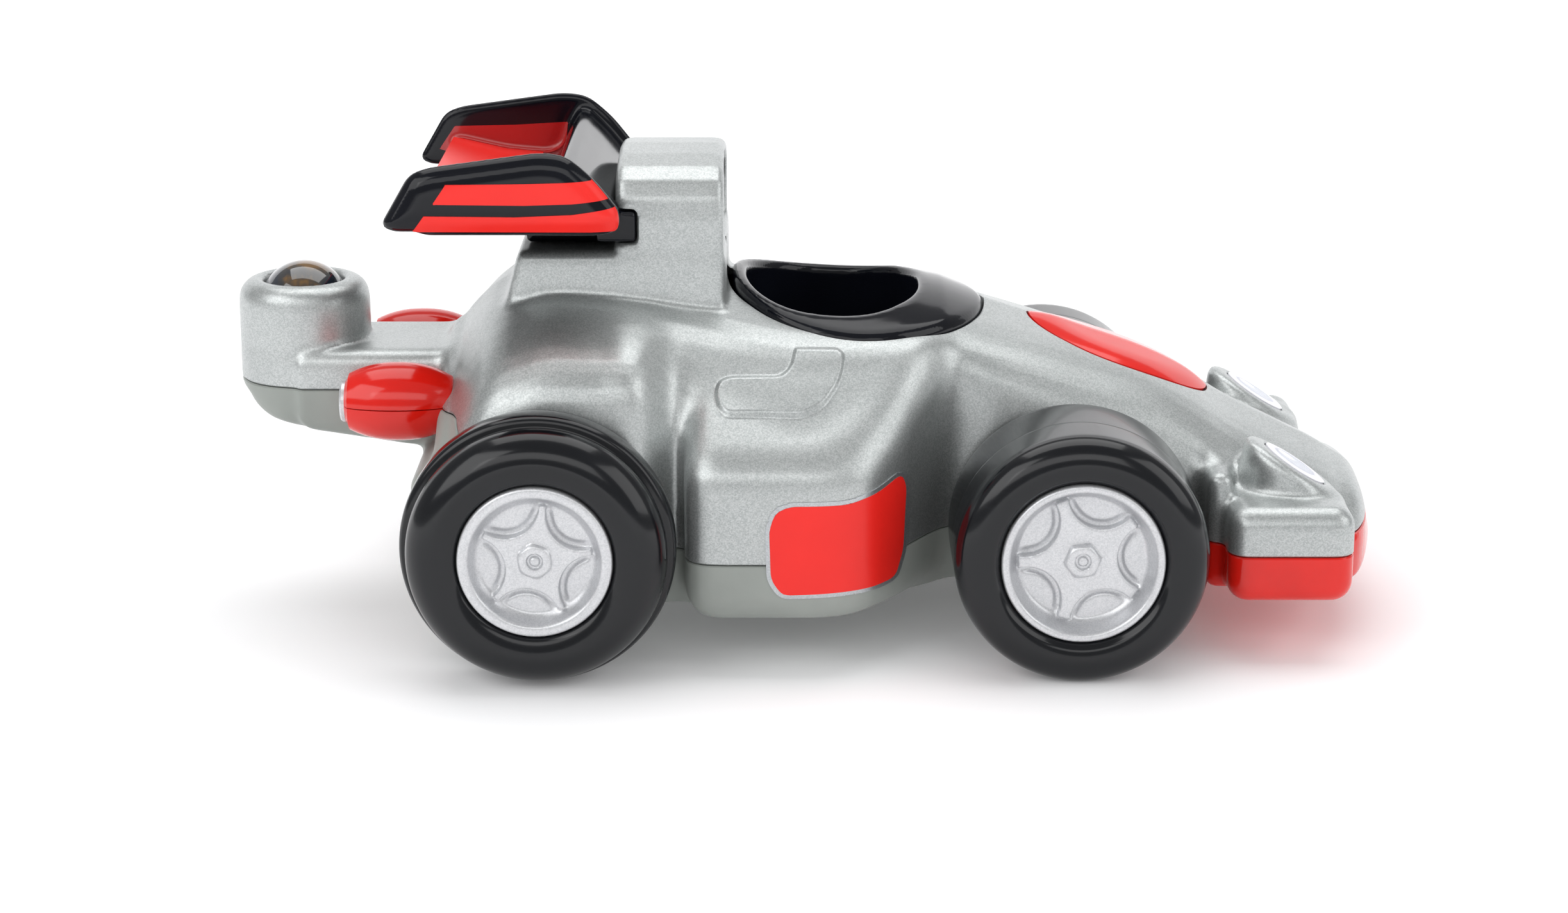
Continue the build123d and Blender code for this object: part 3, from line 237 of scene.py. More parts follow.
class Field:
    """Distances on a grid, and the surface where they are zero."""

    reach = 0.6  # in grid steps: between the samples of a gradient, and the most one fit may move
    flattest = 0.1  # smallest squared gradient that a fit divides by

    def __init__(self, low, step, values):
        self.low, self.step = np.array(low, float), step
        self.values = values.astype(np.float32)

    def fold(self, p):
        """Where in the grid's own range the value for p is found."""
        return p

    def whole(self):
        """All values and the corner they start at."""
        return self.values, self.low

    def sample(self, p):
        q = (self.fold(p) - self.low) / self.step
        q = np.clip(q, 0, np.array(self.values.shape) - 1.001)
        cell = q.astype(int)
        f = q - cell
        total = np.zeros(len(p))
        for corner in range(8):
            bits = np.array([corner & 1, corner >> 1 & 1, corner >> 2 & 1])
            weight = np.prod(np.where(bits, f, 1 - f), 1)
            i, j, k = (cell + bits).T
            total += weight * self.values[i, j, k]
        return total

    def gradient(self, p):
        h = self.step * self.reach
        made = np.zeros_like(p)
        for axis in range(3):
            shift = np.zeros(3)
            shift[axis] = h
            made[:, axis] = (self.sample(p + shift) - self.sample(p - shift)) / (2 * h)
        return made

    def normals(self, p):
        g = self.gradient(p)
        return g / np.maximum(np.linalg.norm(g, axis=1, keepdims=True), 1e-6)

    def mesh(self):
        """The closed surface as points and triangles, each point fitted to the field."""
        values, low = self.whole()
        grid = openvdb.FloatGrid(10.0)
        grid.copyFromArray(np.ascontiguousarray(values))
        points, quads = grid.convertToQuads(0.0)
        points = np.array(points, float) * self.step + low
        for _ in range(3):
            g = self.gradient(points)
            square = np.maximum((g * g).sum(1, keepdims=True), self.flattest)
            move = self.sample(points)[:, None] * g / square
            points -= np.clip(move, -self.reach * self.step, self.reach * self.step)
        quads = np.array(quads, int)
        tris = np.concatenate([quads[:, [0, 1, 2]], quads[:, [0, 2, 3]]])
        a, b, c = (points[tris[:, k]] for k in range(3))
        if np.einsum("ij,ij->i", a, np.cross(b, c)).sum() < 0:
            tris = tris[:, ::-1]
        return points, tris


class MirroredField(Field):
    """A slightly blurred field over y >= 0, the same for y < 0."""

    reach = 1.0
    flattest = 0.05

    def __init__(self, low, high, step, shape):
        xs = np.arange(low[0], high[0] + step, step, dtype=np.float32)
        ys = np.arange(-2 * step, high[1] + step, step, dtype=np.float32)
        zs = np.arange(low[1], high[2] + step, step, dtype=np.float32)
        values = shape(xs, np.abs(ys), zs).astype(np.float32)
        for axis in range(3):
            ends = [values.take([0], axis), values.take([-1], axis)]
            padded = np.concatenate([ends[0], values, ends[1]], axis)
            lower = padded.take(range(values.shape[axis]), axis)
            upper = padded.take(range(2, values.shape[axis] + 2), axis)
            values = 0.5 * values + 0.25 * (lower + upper)
        super().__init__([low[0], -2 * step, low[1]], step, values)

    def fold(self, p):
        return np.stack([p[:, 0], np.abs(p[:, 1]), p[:, 2]], 1)

    def whole(self):
        half = self.values[:, 2:, :]
        full = np.concatenate([half[:, :0:-1, :], half], 1)
        return full, [self.low[0], -(half.shape[1] - 1) * self.step, self.low[2]]


# -------- cutting meshes along lines
def cut(points, tris, values, level):
    """Splits every triangle in which the values at its corners cross the level."""
    over = values > level
    state = over[tris]
    count = state.sum(1)
    mixed = (count > 0) & (count < 3)
    t, s = tris[mixed], state[mixed]
    lone = np.where((s.sum(1) == 1)[:, None], s, ~s).argmax(1)
    t = np.take_along_axis(t, (lone[:, None] + np.arange(3)) % 3, 1)
    a, b, c = t.T
    pairs = np.sort(np.concatenate([np.stack([a, b], 1), np.stack([a, c], 1)]), 1)
    pairs, where = np.unique(pairs, axis=0, return_inverse=True)
    where = where.reshape(-1)
    v0, v1 = values[pairs[:, 0]], values[pairs[:, 1]]
    w = ((level - v0) / (v1 - v0))[:, None]
    fresh = points[pairs[:, 0]] * (1 - w) + points[pairs[:, 1]] * w
    m, n = len(points) + where[:len(a)], len(points) + where[len(a):]
    tris = np.concatenate([tris[~mixed], np.stack([a, m, n], 1), np.stack([m, b, c], 1),
                           np.stack([m, c, n], 1)])
    return np.concatenate([points, fresh]), tris


def compact(points, tris):
    """Drops the points that no triangle uses."""
    used, flat = np.unique(tris, return_inverse=True)
    return points[used], flat.reshape(tris.shape)


def keep(points, tris, shape, rim=RIM):
    """Keeps the part where shape < 0, with an edge loop a rim's width inside the cut."""
    points, tris = cut(points, tris, shape(points), 0.0)
    if rim:
        points, tris = cut(points, tris, shape(points), -rim)
    return compact(points, tris[shape(points[tris].mean(1)) < 0])


def borders(tris):
    """The edges that belong to one triangle only."""
    edges = np.concatenate([tris[:, [0, 1]], tris[:, [1, 2]], tris[:, [2, 0]]])
    size = tris.max() + 1
    key = edges[:, 0] * size + edges[:, 1]
    back = edges[:, 1] * size + edges[:, 0]
    return edges[~np.isin(key, back)]


def thicken(points, tris, normals, wall):
    """Gives a surface a back and side walls along its borders."""
    n = len(points)
    edge = borders(tris)
    a, b = edge.T
    walls = np.concatenate([np.stack([b, a, a + n], 1), np.stack([b, a + n, b + n], 1)])
    tris = np.concatenate([tris, tris[:, ::-1] + n, walls])
    return np.concatenate([points, points - wall * normals]), tris


def step(points, tris, normals, shape, rise, ease=1.1):
    """Lifts the part where shape < 0 by rise, with a smooth slope all round it."""
    for loop in (0, 0.25, 0.5, 0.75, 1):
        points, tris = cut(points, tris, shape(points), -loop * ease)
    share = np.clip(-shape(points) / ease, 0, 1)[:, None]
    return points + rise * share ** 2 * (3 - 2 * share) * normals(points), tris


# -------- objects
def build(name, points, faces, mat, body, nodes, slot, angle=32):
    """Makes one visible piece; edges sharper than the angle in degrees are not shaded smooth."""
    mesh = bpy.data.meshes.new(name)
    mesh.from_pydata((np.asarray(points) * MM).tolist(), [], [list(map(int, f)) for f in faces])
    mesh.validate()
    mesh.polygons.foreach_set("use_smooth", [True] * len(mesh.polygons))
    if angle:
        mesh.set_sharp_from_angle(angle=math.radians(angle))
    mesh.materials.append(mat)
    piece = bpy.data.objects.new(name, mesh)
    bpy.context.collection.objects.link(piece)
    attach(piece, body)
    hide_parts(*nodes)


def fixed(name, shape, mat, node, slot, angle=32):
    """A visible piece on the chassis that stands for one CAD piece."""
    build(name, *shape, mat, "chassis", [node], slot, angle)


def join(*parts):
    """Several (points, faces) as one."""
    points, faces, n = [], [], 0
    for p, f in parts:
        points.append(np.asarray(p, float))
        faces += [[int(i) + n for i in face] for face in f]
        n += len(p)
    return np.concatenate(points), faces


def lathe(profile, turns=96, arc=2 * math.pi, start=0.0):
    """Turns a closed profile (radius, height) about the z axis; a part turn gets end caps."""
    whole = abs(arc - 2 * math.pi) < 1e-6
    count = turns if whole else turns + 1
    angles = start + np.arange(count) * arc / turns
    radius, height = np.array(profile, float).T
    m = len(profile)
    points = np.concatenate([np.stack([radius * math.cos(a), radius * math.sin(a), height], 1)
                             for a in angles])
    faces = []
    for i in range(turns):
        here, ahead = i * m, ((i + 1) % count) * m
        for j in range(m):
            after = (j + 1) % m
            faces.append([here + j, ahead + j, ahead + after, here + after])
    if not whole:
        faces.append(list(range(m - 1, -1, -1)))
        faces.append([(count - 1) * m + j for j in range(m)])
    return points, faces


def along_y(points, x, z, side):
    """Turns a lathe's axis to the car's side; its height is the distance from the car's middle."""
    p = np.asarray(points, float)
    return np.stack([x + side * p[:, 0], side * p[:, 2], z + p[:, 1]], 1)


# -------- the outer form of the body
def hull_sections(xs, ys, zs):
    """Distance to the hull, one cross-section after another, smooth from station to station."""
    stations = np.array([s for s, _ in HULL], float)
    table = np.array([half for _, half in HULL], float)
    slopes = np.gradient(table, stations, axis=0)
    made = np.empty((len(xs), len(ys), len(zs)), np.float32)
    yy, zz = np.meshgrid(ys, zs, indexing="ij")
    for n, x in enumerate(np.clip(xs, stations[0], stations[-1])):
        i = min(max(int(np.searchsorted(stations, x)) - 1, 0), len(stations) - 2)
        d = stations[i + 1] - stations[i]
        t = (x - stations[i]) / d
        half = ((2 * t ** 3 - 3 * t ** 2 + 1) * table[i]
                + (t ** 3 - 2 * t ** 2 + t) * d * slopes[i]
                + (3 * t ** 2 - 2 * t ** 3) * table[i + 1]
                + (t ** 3 - t ** 2) * d * slopes[i + 1])
        line = [tuple(p) for p in curve_through(half, 3)]
        past_middle = -6.0
        closing = [(past_middle, half[-1][1]), (past_middle, line[0][1])]
        made[n] = outline(line + closing, yy, zz)
    return made


def block(x, y, z, centre, size, r):
    """Distance to a box with round edges."""
    q = [np.abs(v - c) - (s / 2 - r) for v, c, s in zip((x, y, z), centre, size)]
    outside = np.sqrt(sum(np.maximum(v, 0) ** 2 for v in q))
    return outside + np.minimum(np.maximum(np.maximum(q[0], q[1]), q[2]), 0) - r


def body_shape(xs, ys, zs):
    x, y, z = xs[:, None, None], ys[None, :, None], zs[None, None, :]
    xz = np.meshgrid(xs, zs, indexing="ij")
    xy = np.meshgrid(xs, ys, indexing="ij")
    yz = np.meshgrid(ys, zs, indexing="ij")
    form = hull_sections(xs, ys, zs)
    form /= np.maximum(np.sqrt(1 + np.gradient(form, xs, axis=0) ** 2), 1)
    # rounded bow and rear face
    bow = NOSE_X - 0.11 * (np.sqrt(y ** 2 + 36) - 6) - 0.0032 * y ** 2
    form = smax(form, x - bow + 0 * z, 5)
    form = smax(form, REAR_END - x, 7)
    # side pods, with a hollow line where they meet the rear fenders
    pod = outline(rounded(POD_PLAN, 9), *xy)[:, :, None]
    pod = smax(pod, outline(rounded(POD_RISE, 5), *yz)[None], 8)
    form = smin(form, pod, 5)
    # low box behind the rear wheels
    form = smin(form, block(x, y, z, *REAR_BOX), 4)
    # boom and round pod at the tail
    round_pod = np.sqrt((x - POD_X) ** 2 + y ** 2) - POD_R
    plan = smin(round_pod, np.maximum(y - BOOM_HALF, POD_X - x), 2)
    boom = smax(outline(rounded(TAIL_SIDE, 3), *xz)[:, None, :], plan, 4.5)
    form = smin(form, boom, 2.0)
    form = smin(form, smax(smax(round_pod, z - POD_RIM, 5.5), POD_FLOOR - z, 2), 1.2)
    # engine deck and air tower
    deck = smax(outline(rounded(DECK_SIDE, 2), *xz)[:, None, :], y - DECK_HALF, 3)
    form = smin(form, deck, 2)
    tower = smax(outline(TOWER_ARCH, *yz)[None], smax(x - TOWER_FRONT, TOWER_BACK - x, 1), 2.5)
    form = smin(form, tower, 0.8)
    # a fender ahead of each front wheel, the corner blocks and the lamp bosses
    form = smin(form, block(x, y, z, *FENDER), 4)
    form = smin(form, block(x, y, z, *CORNER), 2.6)
    lx, ly, lz, tilt = LAMP
    depth = -((x - lx) * math.sin(tilt) + (z - lz) * math.cos(tilt))
    flare = 0.12 * np.clip(depth, 0, 12)
    lamp = smax(ellipse(x - lx + flare, y - ly, *LAMP_BOSS), -depth, 3.0)
    form = smin(form, smax(lamp, 24 - z, 3), 2.2)
    # mouth over the ball
    mouth = np.sqrt((x - POD_X) ** 2 + y ** 2) - MOUTH_R
    form = smax(form, -smax(mouth, BALL_Z - 3 - z, 1), 1.4)
    # hollow of the tower, under a wall that follows its arch
    arch = [(u * 0.86, v - 2.8 if v > 70 else v) for u, v in TOWER_ARCH]
    recess = smax(outline(arch, *yz)[None], DECK_TOP - 0.5 - z, 2)
    recess = smax(recess, -36.5 - x, 2)
    form = smax(form, -recess, 1.6)
    # notches for the tongues of the wing
    notch = np.maximum(np.maximum(x + 37.3, np.abs(z - TONGUE_Z) - 3.6), TONGUE_HALF - y)
    return np.maximum(form, -notch)


BODY_STEP = 0.72
BODY = MirroredField((-131, 8.5), (131, 64, 108.5), BODY_STEP, body_shape)
body = BODY.mesh()


# -------- lines that part the body's pieces
def seam(p):
    """Positive above the seam, seen from the side."""
    return -outline(SEAM + [(160, 200), (-160, 200)], p[:, 0], p[:, 2])


def in_cockpit(p):
    cx, rx, ry = COCKPIT
    oval = ellipse(p[:, 0] - cx, p[:, 1], rx, ry)
    return np.max([oval, TOWER_FRONT - p[:, 0], 58 - p[:, 2]], 0)


def in_badge(p):
    cx, rx, ry = BADGE
    return np.maximum(ellipse(p[:, 0] - cx, p[:, 1], rx, ry), 44 - p[:, 2])


def in_lamp(p):
    lx, ly, lz, tilt = LAMP
    u = (p[:, 0] - lx) * math.cos(tilt) - (p[:, 2] - lz) * math.sin(tilt)
    w = (p[:, 0] - lx) * math.sin(tilt) + (p[:, 2] - lz) * math.cos(tilt)
    return np.maximum(ellipse(u, np.abs(p[:, 1]) - ly, *LENS), -1.5 - w)


def in_outline(points, from_middle):
    """Inside an outline drawn on the car's sides, farther out than from_middle."""
    shape = rounded(points, 1.6)
    return lambda p: np.maximum(outline(shape, p[:, 0], p[:, 2]), from_middle - np.abs(p[:, 1]))


def near_axle(p):
    front = np.hypot(p[:, 0] - FRONT_X, p[:, 2] - FRONT_Z) - AXLE_HOLE
    rear = np.hypot(p[:, 0] - REAR_X, p[:, 2] - REAR_Z) - AXLE_HOLE
    return np.minimum(np.maximum(front, np.abs(p[:, 1]) - 40), rear)


def near_screw(p):
    holes = [(x, y, 15) for x, y in SCREWS] + [(*TAIL_SCREW, 46)]
    return np.min([np.maximum(np.hypot(p[:, 0] - x, p[:, 1] - y) - SCREW_HOLE, p[:, 2] - top)
                   for x, y, top in holes], 0)


def upper_line(p):
    return np.max([GAP / 2 - seam(p), -in_cockpit(p), -in_badge(p), -in_lamp(p),
                   -near_axle(p)], 0)


def lower_line(p):
    return np.max([GAP / 2 + seam(p), p[:, 0] - BUMPER_X + GAP / 2, -near_axle(p),
                   -near_screw(p)], 0)


def bumper_line(p):
    return np.max([GAP / 2 + seam(p), BUMPER_X + GAP / 2 - p[:, 0]], 0)


def shell(line):
    """The part of the body where line < 0, with a wall and its rim rounded over."""
    points, tris = keep(*body, line)
    return finish_shell(points, tris, line)


def finish_shell(points, tris, line, wall=1.5):
    normals = BODY.normals(points)
    ease = np.clip((line(points) + RIM) / RIM, 0, 1)[:, None]
    return thicken(points - 0.28 * ease * normals, tris, normals, wall)


def skin(shape, lift, wall, inset=0.0, dome=None, field=BODY, surface=body):
    """A sticker: a field's surface inside a line, lifted off it, with a dome if wanted."""
    points, tris = keep(*surface, lambda p: shape(p) + inset, 0)
    normals = field.normals(points)
    height = lift + (dome(points) if dome else 0.0)
    return thicken(points + np.reshape(height, (-1, 1)) * normals, tris, normals, wall)


def on_side(shape, side):
    """The line on one side of the car only."""
    return lambda p: np.maximum(shape(p), -side * p[:, 1])


# -------- materials
def lin(*rgb):
    """A colour given as it looks on screen, 0 to 255, in linear light."""
    return tuple((c / 255 / 12.92 if c <= 10 else ((c / 255 + 0.055) / 1.055) ** 2.4)
                 for c in rgb) + (1.0,)


def shade(colour, share):
    return tuple(c * share for c in colour[:3]) + (1.0,)


class Nodes:
    """Short forms for building a node material."""

    def __init__(self, name):
        self.mat = bpy.data.materials.new(name)
        self.mat.use_nodes = True
        self.tree = self.mat.node_tree
        self.shader = self.tree.nodes["Principled BSDF"]
        self.place = self.tree.nodes.new("ShaderNodeTexCoord").outputs["Object"]

    def put(self, socket, value):
        if isinstance(value, bpy.types.NodeSocket):
            self.tree.links.new(value, socket)
        else:
            socket.default_value = value

    def add(self, kind, values=None, **settings):
        node = self.tree.nodes.new(kind)
        for key, value in settings.items():
            setattr(node, key, value)
        for key, value in (values or {}).items():
            self.put(node.inputs[key], value)
        return node

    def noise(self, scale, detail=2.0, rough=0.5, stretch=None):
        vector = self.place
        if stretch:
            mapping = self.add("ShaderNodeMapping", {"Vector": vector, "Scale": stretch})
            vector = mapping.outputs["Vector"]
        return self.add("ShaderNodeTexNoise", {"Vector": vector, "Scale": scale, "Detail": detail,
                                               "Roughness": rough}).outputs["Fac"]

    def cells(self, scale):
        """A grey of its own for every cell of a fine pattern."""
        cell = self.add("ShaderNodeTexVoronoi", {"Vector": self.place, "Scale": scale})
        return self.red(cell.outputs["Color"])

    def red(self, colour):
        return self.add("ShaderNodeSeparateColor", {"Color": colour}).outputs[0]

    def ramp(self, value, *stops):
        node = self.add("ShaderNodeValToRGB", {"Fac": value})
        ramp = node.color_ramp
        while len(ramp.elements) < len(stops):
            ramp.elements.new(0.5)
        for element, (at, colour) in zip(ramp.elements, stops):
            element.position = at
            element.color = colour
        return node.outputs["Color"]

    def span(self, value, low, high, start=0.0, end=1.0):
        """Maps start..end to low..high."""
        return self.add("ShaderNodeMapRange", {"Value": value, "From Min": start, "From Max": end,
                                               "To Min": low, "To Max": high}).outputs["Result"]

    def math(self, how, a, b=0.0):
        return self.add("ShaderNodeMath", {0: a, 1: b}, operation=how).outputs[0]

    def length(self, a, b):
        return self.math("SQRT", self.math("ADD", self.math("MULTIPLY", a, a),
                                           self.math("MULTIPLY", b, b)))

    def mix(self, share, a, b):
        node = self.add("ShaderNodeMix", data_type="RGBA")
        # the node's inputs and outputs for colours
        self.put(node.inputs[0], share)
        self.put(node.inputs[6], a)
        self.put(node.inputs[7], b)
        return node.outputs[2]

    def bump(self, height, strength, distance, after=None):
        values = {"Height": height, "Strength": strength, "Distance": distance}
        if after:
            values["Normal"] = after
        return self.add("ShaderNodeBump", values).outputs["Normal"]

    def finish(self, **inputs):
        for key, value in inputs.items():
            self.put(self.shader.inputs[key.replace("_", " ")], value)
        return self.mat


def silver_paint(name, light, dark, rough, metal):
    """Silver lacquer over moulded plastic: fine flakes that shine unevenly, slight orange peel."""
    n = Nodes(name)
    tone = n.span(n.cells(4200.0), 0.0, 1.0)
    cloud = n.noise(38.0, 3.0)
    share = n.math("ADD", n.math("MULTIPLY", tone, 0.45), n.math("MULTIPLY", cloud, 0.4))
    peel = n.bump(n.noise(420.0, 2.0), 0.10, 0.0002)
    flakes = n.bump(tone, 0.10, 0.00006, peel)
    roughness = n.span(n.noise(900.0, 1.0), rough - 0.04, rough + 0.05)
    return n.finish(Base_Color=n.mix(share, dark, light), Metallic=metal, Roughness=roughness,
                    Normal=flakes, Coat_Weight=0.25, Coat_Roughness=0.22)


def moulded(name, colour, rough, deep, gloss, peel, scuff, specular=0.5):
    """Moulded plastic: faint cloudiness, low ripples of the tool's polish and a few fine rubs."""
    n = Nodes(name)
    cloud = n.noise(60.0, 4.0)
    base = n.mix(n.span(cloud, 0.0, 1.0, 0.3, 0.7), shade(colour, deep), colour)
    rub = n.ramp(n.noise(170.0, 5.0, 0.7, (1.0, 0.25, 2.2)),
                 (0.56, (0, 0, 0, 1)), (0.74, (1, 1, 1, 1)))
    rubbed = n.math("MULTIPLY", n.red(rub), scuff)
    polish = n.span(n.noise(300.0, 2.0), rough - 0.03, rough + 0.03)
    ripple = n.bump(n.noise(120.0, 2.0), peel, 0.0004)
    grain = n.bump(n.noise(2600.0, 2.0), peel * 0.8, 0.00005, ripple)
    return n.finish(Base_Color=base, Roughness=n.math("ADD", polish, rubbed), Normal=grain,
                    Coat_Weight=gloss, Coat_Roughness=0.05, Specular_IOR_Level=specular)


def bare_metal(name, colour, rough, lines):
    """Drawn metal with streaks along it."""
    n = Nodes(name)
    streak = n.noise(900.0, 3.0, 0.6, lines)
    return n.finish(Base_Color=n.mix(streak, shade(colour, 0.7), colour), Metallic=1.0,
                    Roughness=n.span(streak, rough - 0.08, rough + 0.1),
                    Normal=n.bump(streak, 0.12, 0.0001))


SILVER = silver_paint("silver_lacquer", lin(216, 219, 218), lin(150, 155, 155), 0.40, 0.80)
HUB_SILVER = silver_paint("hub_lacquer", lin(232, 232, 234), lin(190, 192, 195), 0.36, 0.65)
EDGE_FOIL = silver_paint("sticker_edge_foil", lin(205, 208, 210), lin(160, 164, 168), 0.30, 0.8)
# after the colour: rough, deep, gloss, peel, scuff and specular of moulded
GREY = moulded("grey_plastic", lin(152, 157, 152), 0.40, 0.86, 0.0, 0.07, 0.08)
BLACK = moulded("black_gloss_plastic", lin(14, 16, 23), 0.11, 0.7, 0.06, 0.02, 0.04, 0.26)
RED = moulded("red_gloss_plastic", lin(226, 30, 20), 0.14, 0.86, 0.15, 0.03, 0.05, 0.4)
TYRE = moulded("tyre_plastic", lin(15, 17, 21), 0.17, 0.8, 0.15, 0.02, 0.06, 0.34)
STICKER = moulded("red_sticker", lin(240, 38, 31), 0.34, 0.93, 0.05, 0.02, 0.04, 0.35)
DARK_STICKER = moulded("dark_red_sticker", lin(176, 26, 26), 0.22, 0.9, 0.3, 0.03, 0.04)
NYLON = moulded("gear_nylon", lin(232, 229, 218), 0.42, 0.92, 0.0, 0.05, 0.1)
MOTOR = moulded("motor_plastic", lin(70, 78, 92), 0.45, 0.8, 0.0, 0.08, 0.1)
STEEL = bare_metal("drawn_steel", lin(198, 200, 203), 0.24, (1.0, 0.06, 1.0))
SPRING = bare_metal("spring_steel", lin(96, 102, 116), 0.30, (1.0, 0.2, 1.0))


def ball_material():
    """Dark glossy ball with a smoky mottle under the gloss; its amber patches are painted glints.
    """
    n = Nodes("ball_smoke_and_glints")
    smoke_and_glint_swirl = n.noise(95.0, 4.0, 0.6)
    # painted highlight: the amber stop at the top of the ramp stands for glints inside the ball
    base = n.ramp(smoke_and_glint_swirl, (0.32, lin(16, 20, 27)), (0.50, lin(30, 37, 48)),
                  (0.60, lin(58, 54, 50)), (0.70, lin(116, 84, 42)))
    return n.finish(Base_Color=base, Roughness=n.span(n.noise(400.0, 2.0), 0.05, 0.10),
                    Coat_Weight=1.0, Coat_Roughness=0.03,
                    Normal=n.bump(n.noise(150.0, 2.0), 0.03, 0.0003))


def lamp_material(side, label):
    """Printed oval: pale border, thin blue line and grey-blue middle, with a painted highlight: a
    white glint off its middle.
    """
    n = Nodes(f"lamp_print_and_highlight_{label}")
    lx, ly, _, tilt = LAMP
    long, wide = LENS[0] * MM * math.cos(tilt), LENS[1] * MM
    split = n.add("ShaderNodeSeparateXYZ", {"Vector": n.place}).outputs
    u = n.math("DIVIDE", n.math("SUBTRACT", split[0], lx * MM), long)
    v = n.math("DIVIDE", n.math("SUBTRACT", split[1], side * ly * MM), wide)
    oval = n.ramp(n.length(u, v), (0.0, lin(150, 160, 182)), (0.50, lin(126, 138, 166)),
                  (0.57, lin(84, 96, 140)), (0.63, lin(84, 96, 140)),
                  (0.70, lin(220, 220, 232)), (1.0, lin(236, 235, 240)))
    # painted highlight: a white glint mixed into the printed colour near the oval's middle
    from_painted_glint = n.length(n.math("ADD", u, 0.25), n.math("SUBTRACT", v, 0.22))
    colour = n.mix(n.span(from_painted_glint, 1.0, 0.0, 0.22, 0.30), oval, lin(242, 243, 247))
    cloudy = n.mix(n.span(n.noise(200.0, 3.0), 0.0, 0.12), colour, lin(190, 192, 205))
    return n.finish(Base_Color=cloudy, Roughness=n.span(n.noise(500.0, 2.0), 0.16, 0.24),
                    Coat_Weight=0.6, Coat_Roughness=0.06,
                    Normal=n.bump(n.noise(240.0, 2.0), 0.03, 0.0002))


# -------- body pieces
def screw_well(x, y, low, seat):
    """Tube in the floor with a ring at its top end that the screw's head bears on."""
    bore, top = 1.7, seat + 2.0
    wall = [(3.0, low + 0.2), (3.0, seat), (bore, seat), (bore, top), (4.6, top),
            (4.6, low + 1.2)]
    points, faces = lathe(wall, 40)
    return points + np.array([x, y, 0]), faces


upper = step(*keep(*body, upper_line), BODY.normals, in_outline(RELIEF, 30), 0.9)
fixed("shell_upper", finish_shell(*upper, upper_line), SILVER, "upper_shell", "silver_paint")

wells = [screw_well(x, y, FLOOR, 20.0 if x != SEAT[0] else 18.0) for x, y in SCREWS]
wells.append(screw_well(*TAIL_SCREW, 40.0, 46.5))
fixed("shell_lower", join(shell(lower_line), *wells), GREY, "lower_shell", "grey_plastic")
fixed("bumper_red", shell(bumper_line), RED, "front_bumper", "red_plastic")


# -------- cockpit tub
def tub_shape(xs, ys, zs):
    x, y, z = xs[:, None, None], ys[None, :, None], zs[None, None, :]
    # plate with a raised ring, domed across the car and lower at its front end
    cx, rx, ry = COCKPIT
    ring = ellipse(x - cx, y, rx - 0.35, ry - 0.35)
    ring = smax(ring, TOWER_FRONT + 0.3 - x, 3)
    drop = 7.2 * (y / ry) ** 2 + 1.3 * np.clip((x - 20) / 17, 0, 1)
    top = crown(xs)[:, None, None] + 1.3 - drop
    plate = smax(smax(ring, z - top, 2.0), top - 4.2 - z, 1.5)
    # bowl that narrows downwards, with a wall round it
    sx, ax, ay = SEAT
    squareness = 2.3
    draft = np.clip((72 - z) * 0.075, 0, 5)
    u, v = np.abs(x - sx) / (ax - draft), y / (ay - draft)
    inside = ((u ** squareness + v ** squareness) ** (1 / squareness) - 1) * (ax - draft)
    outside = smax(inside - 2.2, 32.2 - z, 8)
    whole = smin(plate, smax(outside, z - top + 1.0, 1), 1.5)
    return smax(whole, -smax(inside, 34.0 - z, 10), 2.4)


TUB = MirroredField((-21, 31), (42.5, 36, 79), 0.55, tub_shape)
fixed("cockpit_basin", TUB.mesh(), BLACK, "cockpit_tub", "black_plastic", 0)


# -------- rear wing
# Side plate, tray between the plates and hollow under its front edge, seen from the side.
PLATE = [(-90.2, 94.3), (-84.2, 104.6), (-80.5, 106.0), (-57.0, 109.2), (-51.5, 108.6),
         (-46.0, 104.0), (-40.8, 97.4), (-40.7, 95.2), (-42.6, 93.8), (-46.5, 93.3),
         (-87.8, 93.3)]
TRAY = [(-83.0, 92.4), (-83.0, 99.6), (-70.0, 96.6), (-60.5, 95.8), (-57.0, 97.2),
        (-54.6, 103.4), (-52.6, 106.2), (-50.6, 105.6), (-46.8, 102.0), (-41.0, 94.9),
        (-40.6, 93.6), (-43.0, 92.4)]
HOLLOW = [(-54.4, 90.0), (-54.4, 97.6), (-52.6, 101.8), (-51.2, 102.2), (-48.2, 99.6),
          (-43.9, 95.0), (-44.2, 90.0)]
WING_HALF, PLATE_WALL = 41.5, 4.2
STRUT = (-52.5, 0, 89.6), (19, 30, 8.6), 1.2
TONGUE = (-41.8, 0, TONGUE_Z), (8.6, 48, 6.6), 0.5


def wing_shape(xs, ys, zs):
    x, y, z = xs[:, None, None], ys[None, :, None], zs[None, None, :]
    xz = np.meshgrid(xs, zs, indexing="ij")
    side = outline(rounded(PLATE, 3), *xz)[:, None, :] - 1.0
    plate = smax(smax(side, y - WING_HALF, 5.5), WING_HALF - PLATE_WALL - y, 1.6)
    plate_middle = WING_HALF - PLATE_WALL / 2
    tray = smax(outline(rounded(TRAY, 3), *xz)[:, None, :], y - plate_middle, 0.5)
    hollow = smax(outline(HOLLOW, *xz)[:, None, :], 16.5 - y, 1)
    hollow = smax(hollow, y - 36, 1)
    tray = smax(tray, -hollow, 0.8)
    form = smin(plate, tray, 1.6)
    strut = smax(block(x, y, z, *STRUT), DECK_TOP - z, 0.4)
    form = smin(smin(form, strut, 1.2), block(x, y, z, *TONGUE), 0.4)
    # room for the tower's wall between the tongues
    tower = np.maximum(y - 20.7, -42.3 - x + 0 * z)
    return smax(form, -tower, 0.5)


WING = MirroredField((-92, 83), (-36, 44, 111), 0.42, wing_shape)
wing = WING.mesh()
fixed("wing_black", wing, BLACK, "rear_wing", "black_plastic", 0)


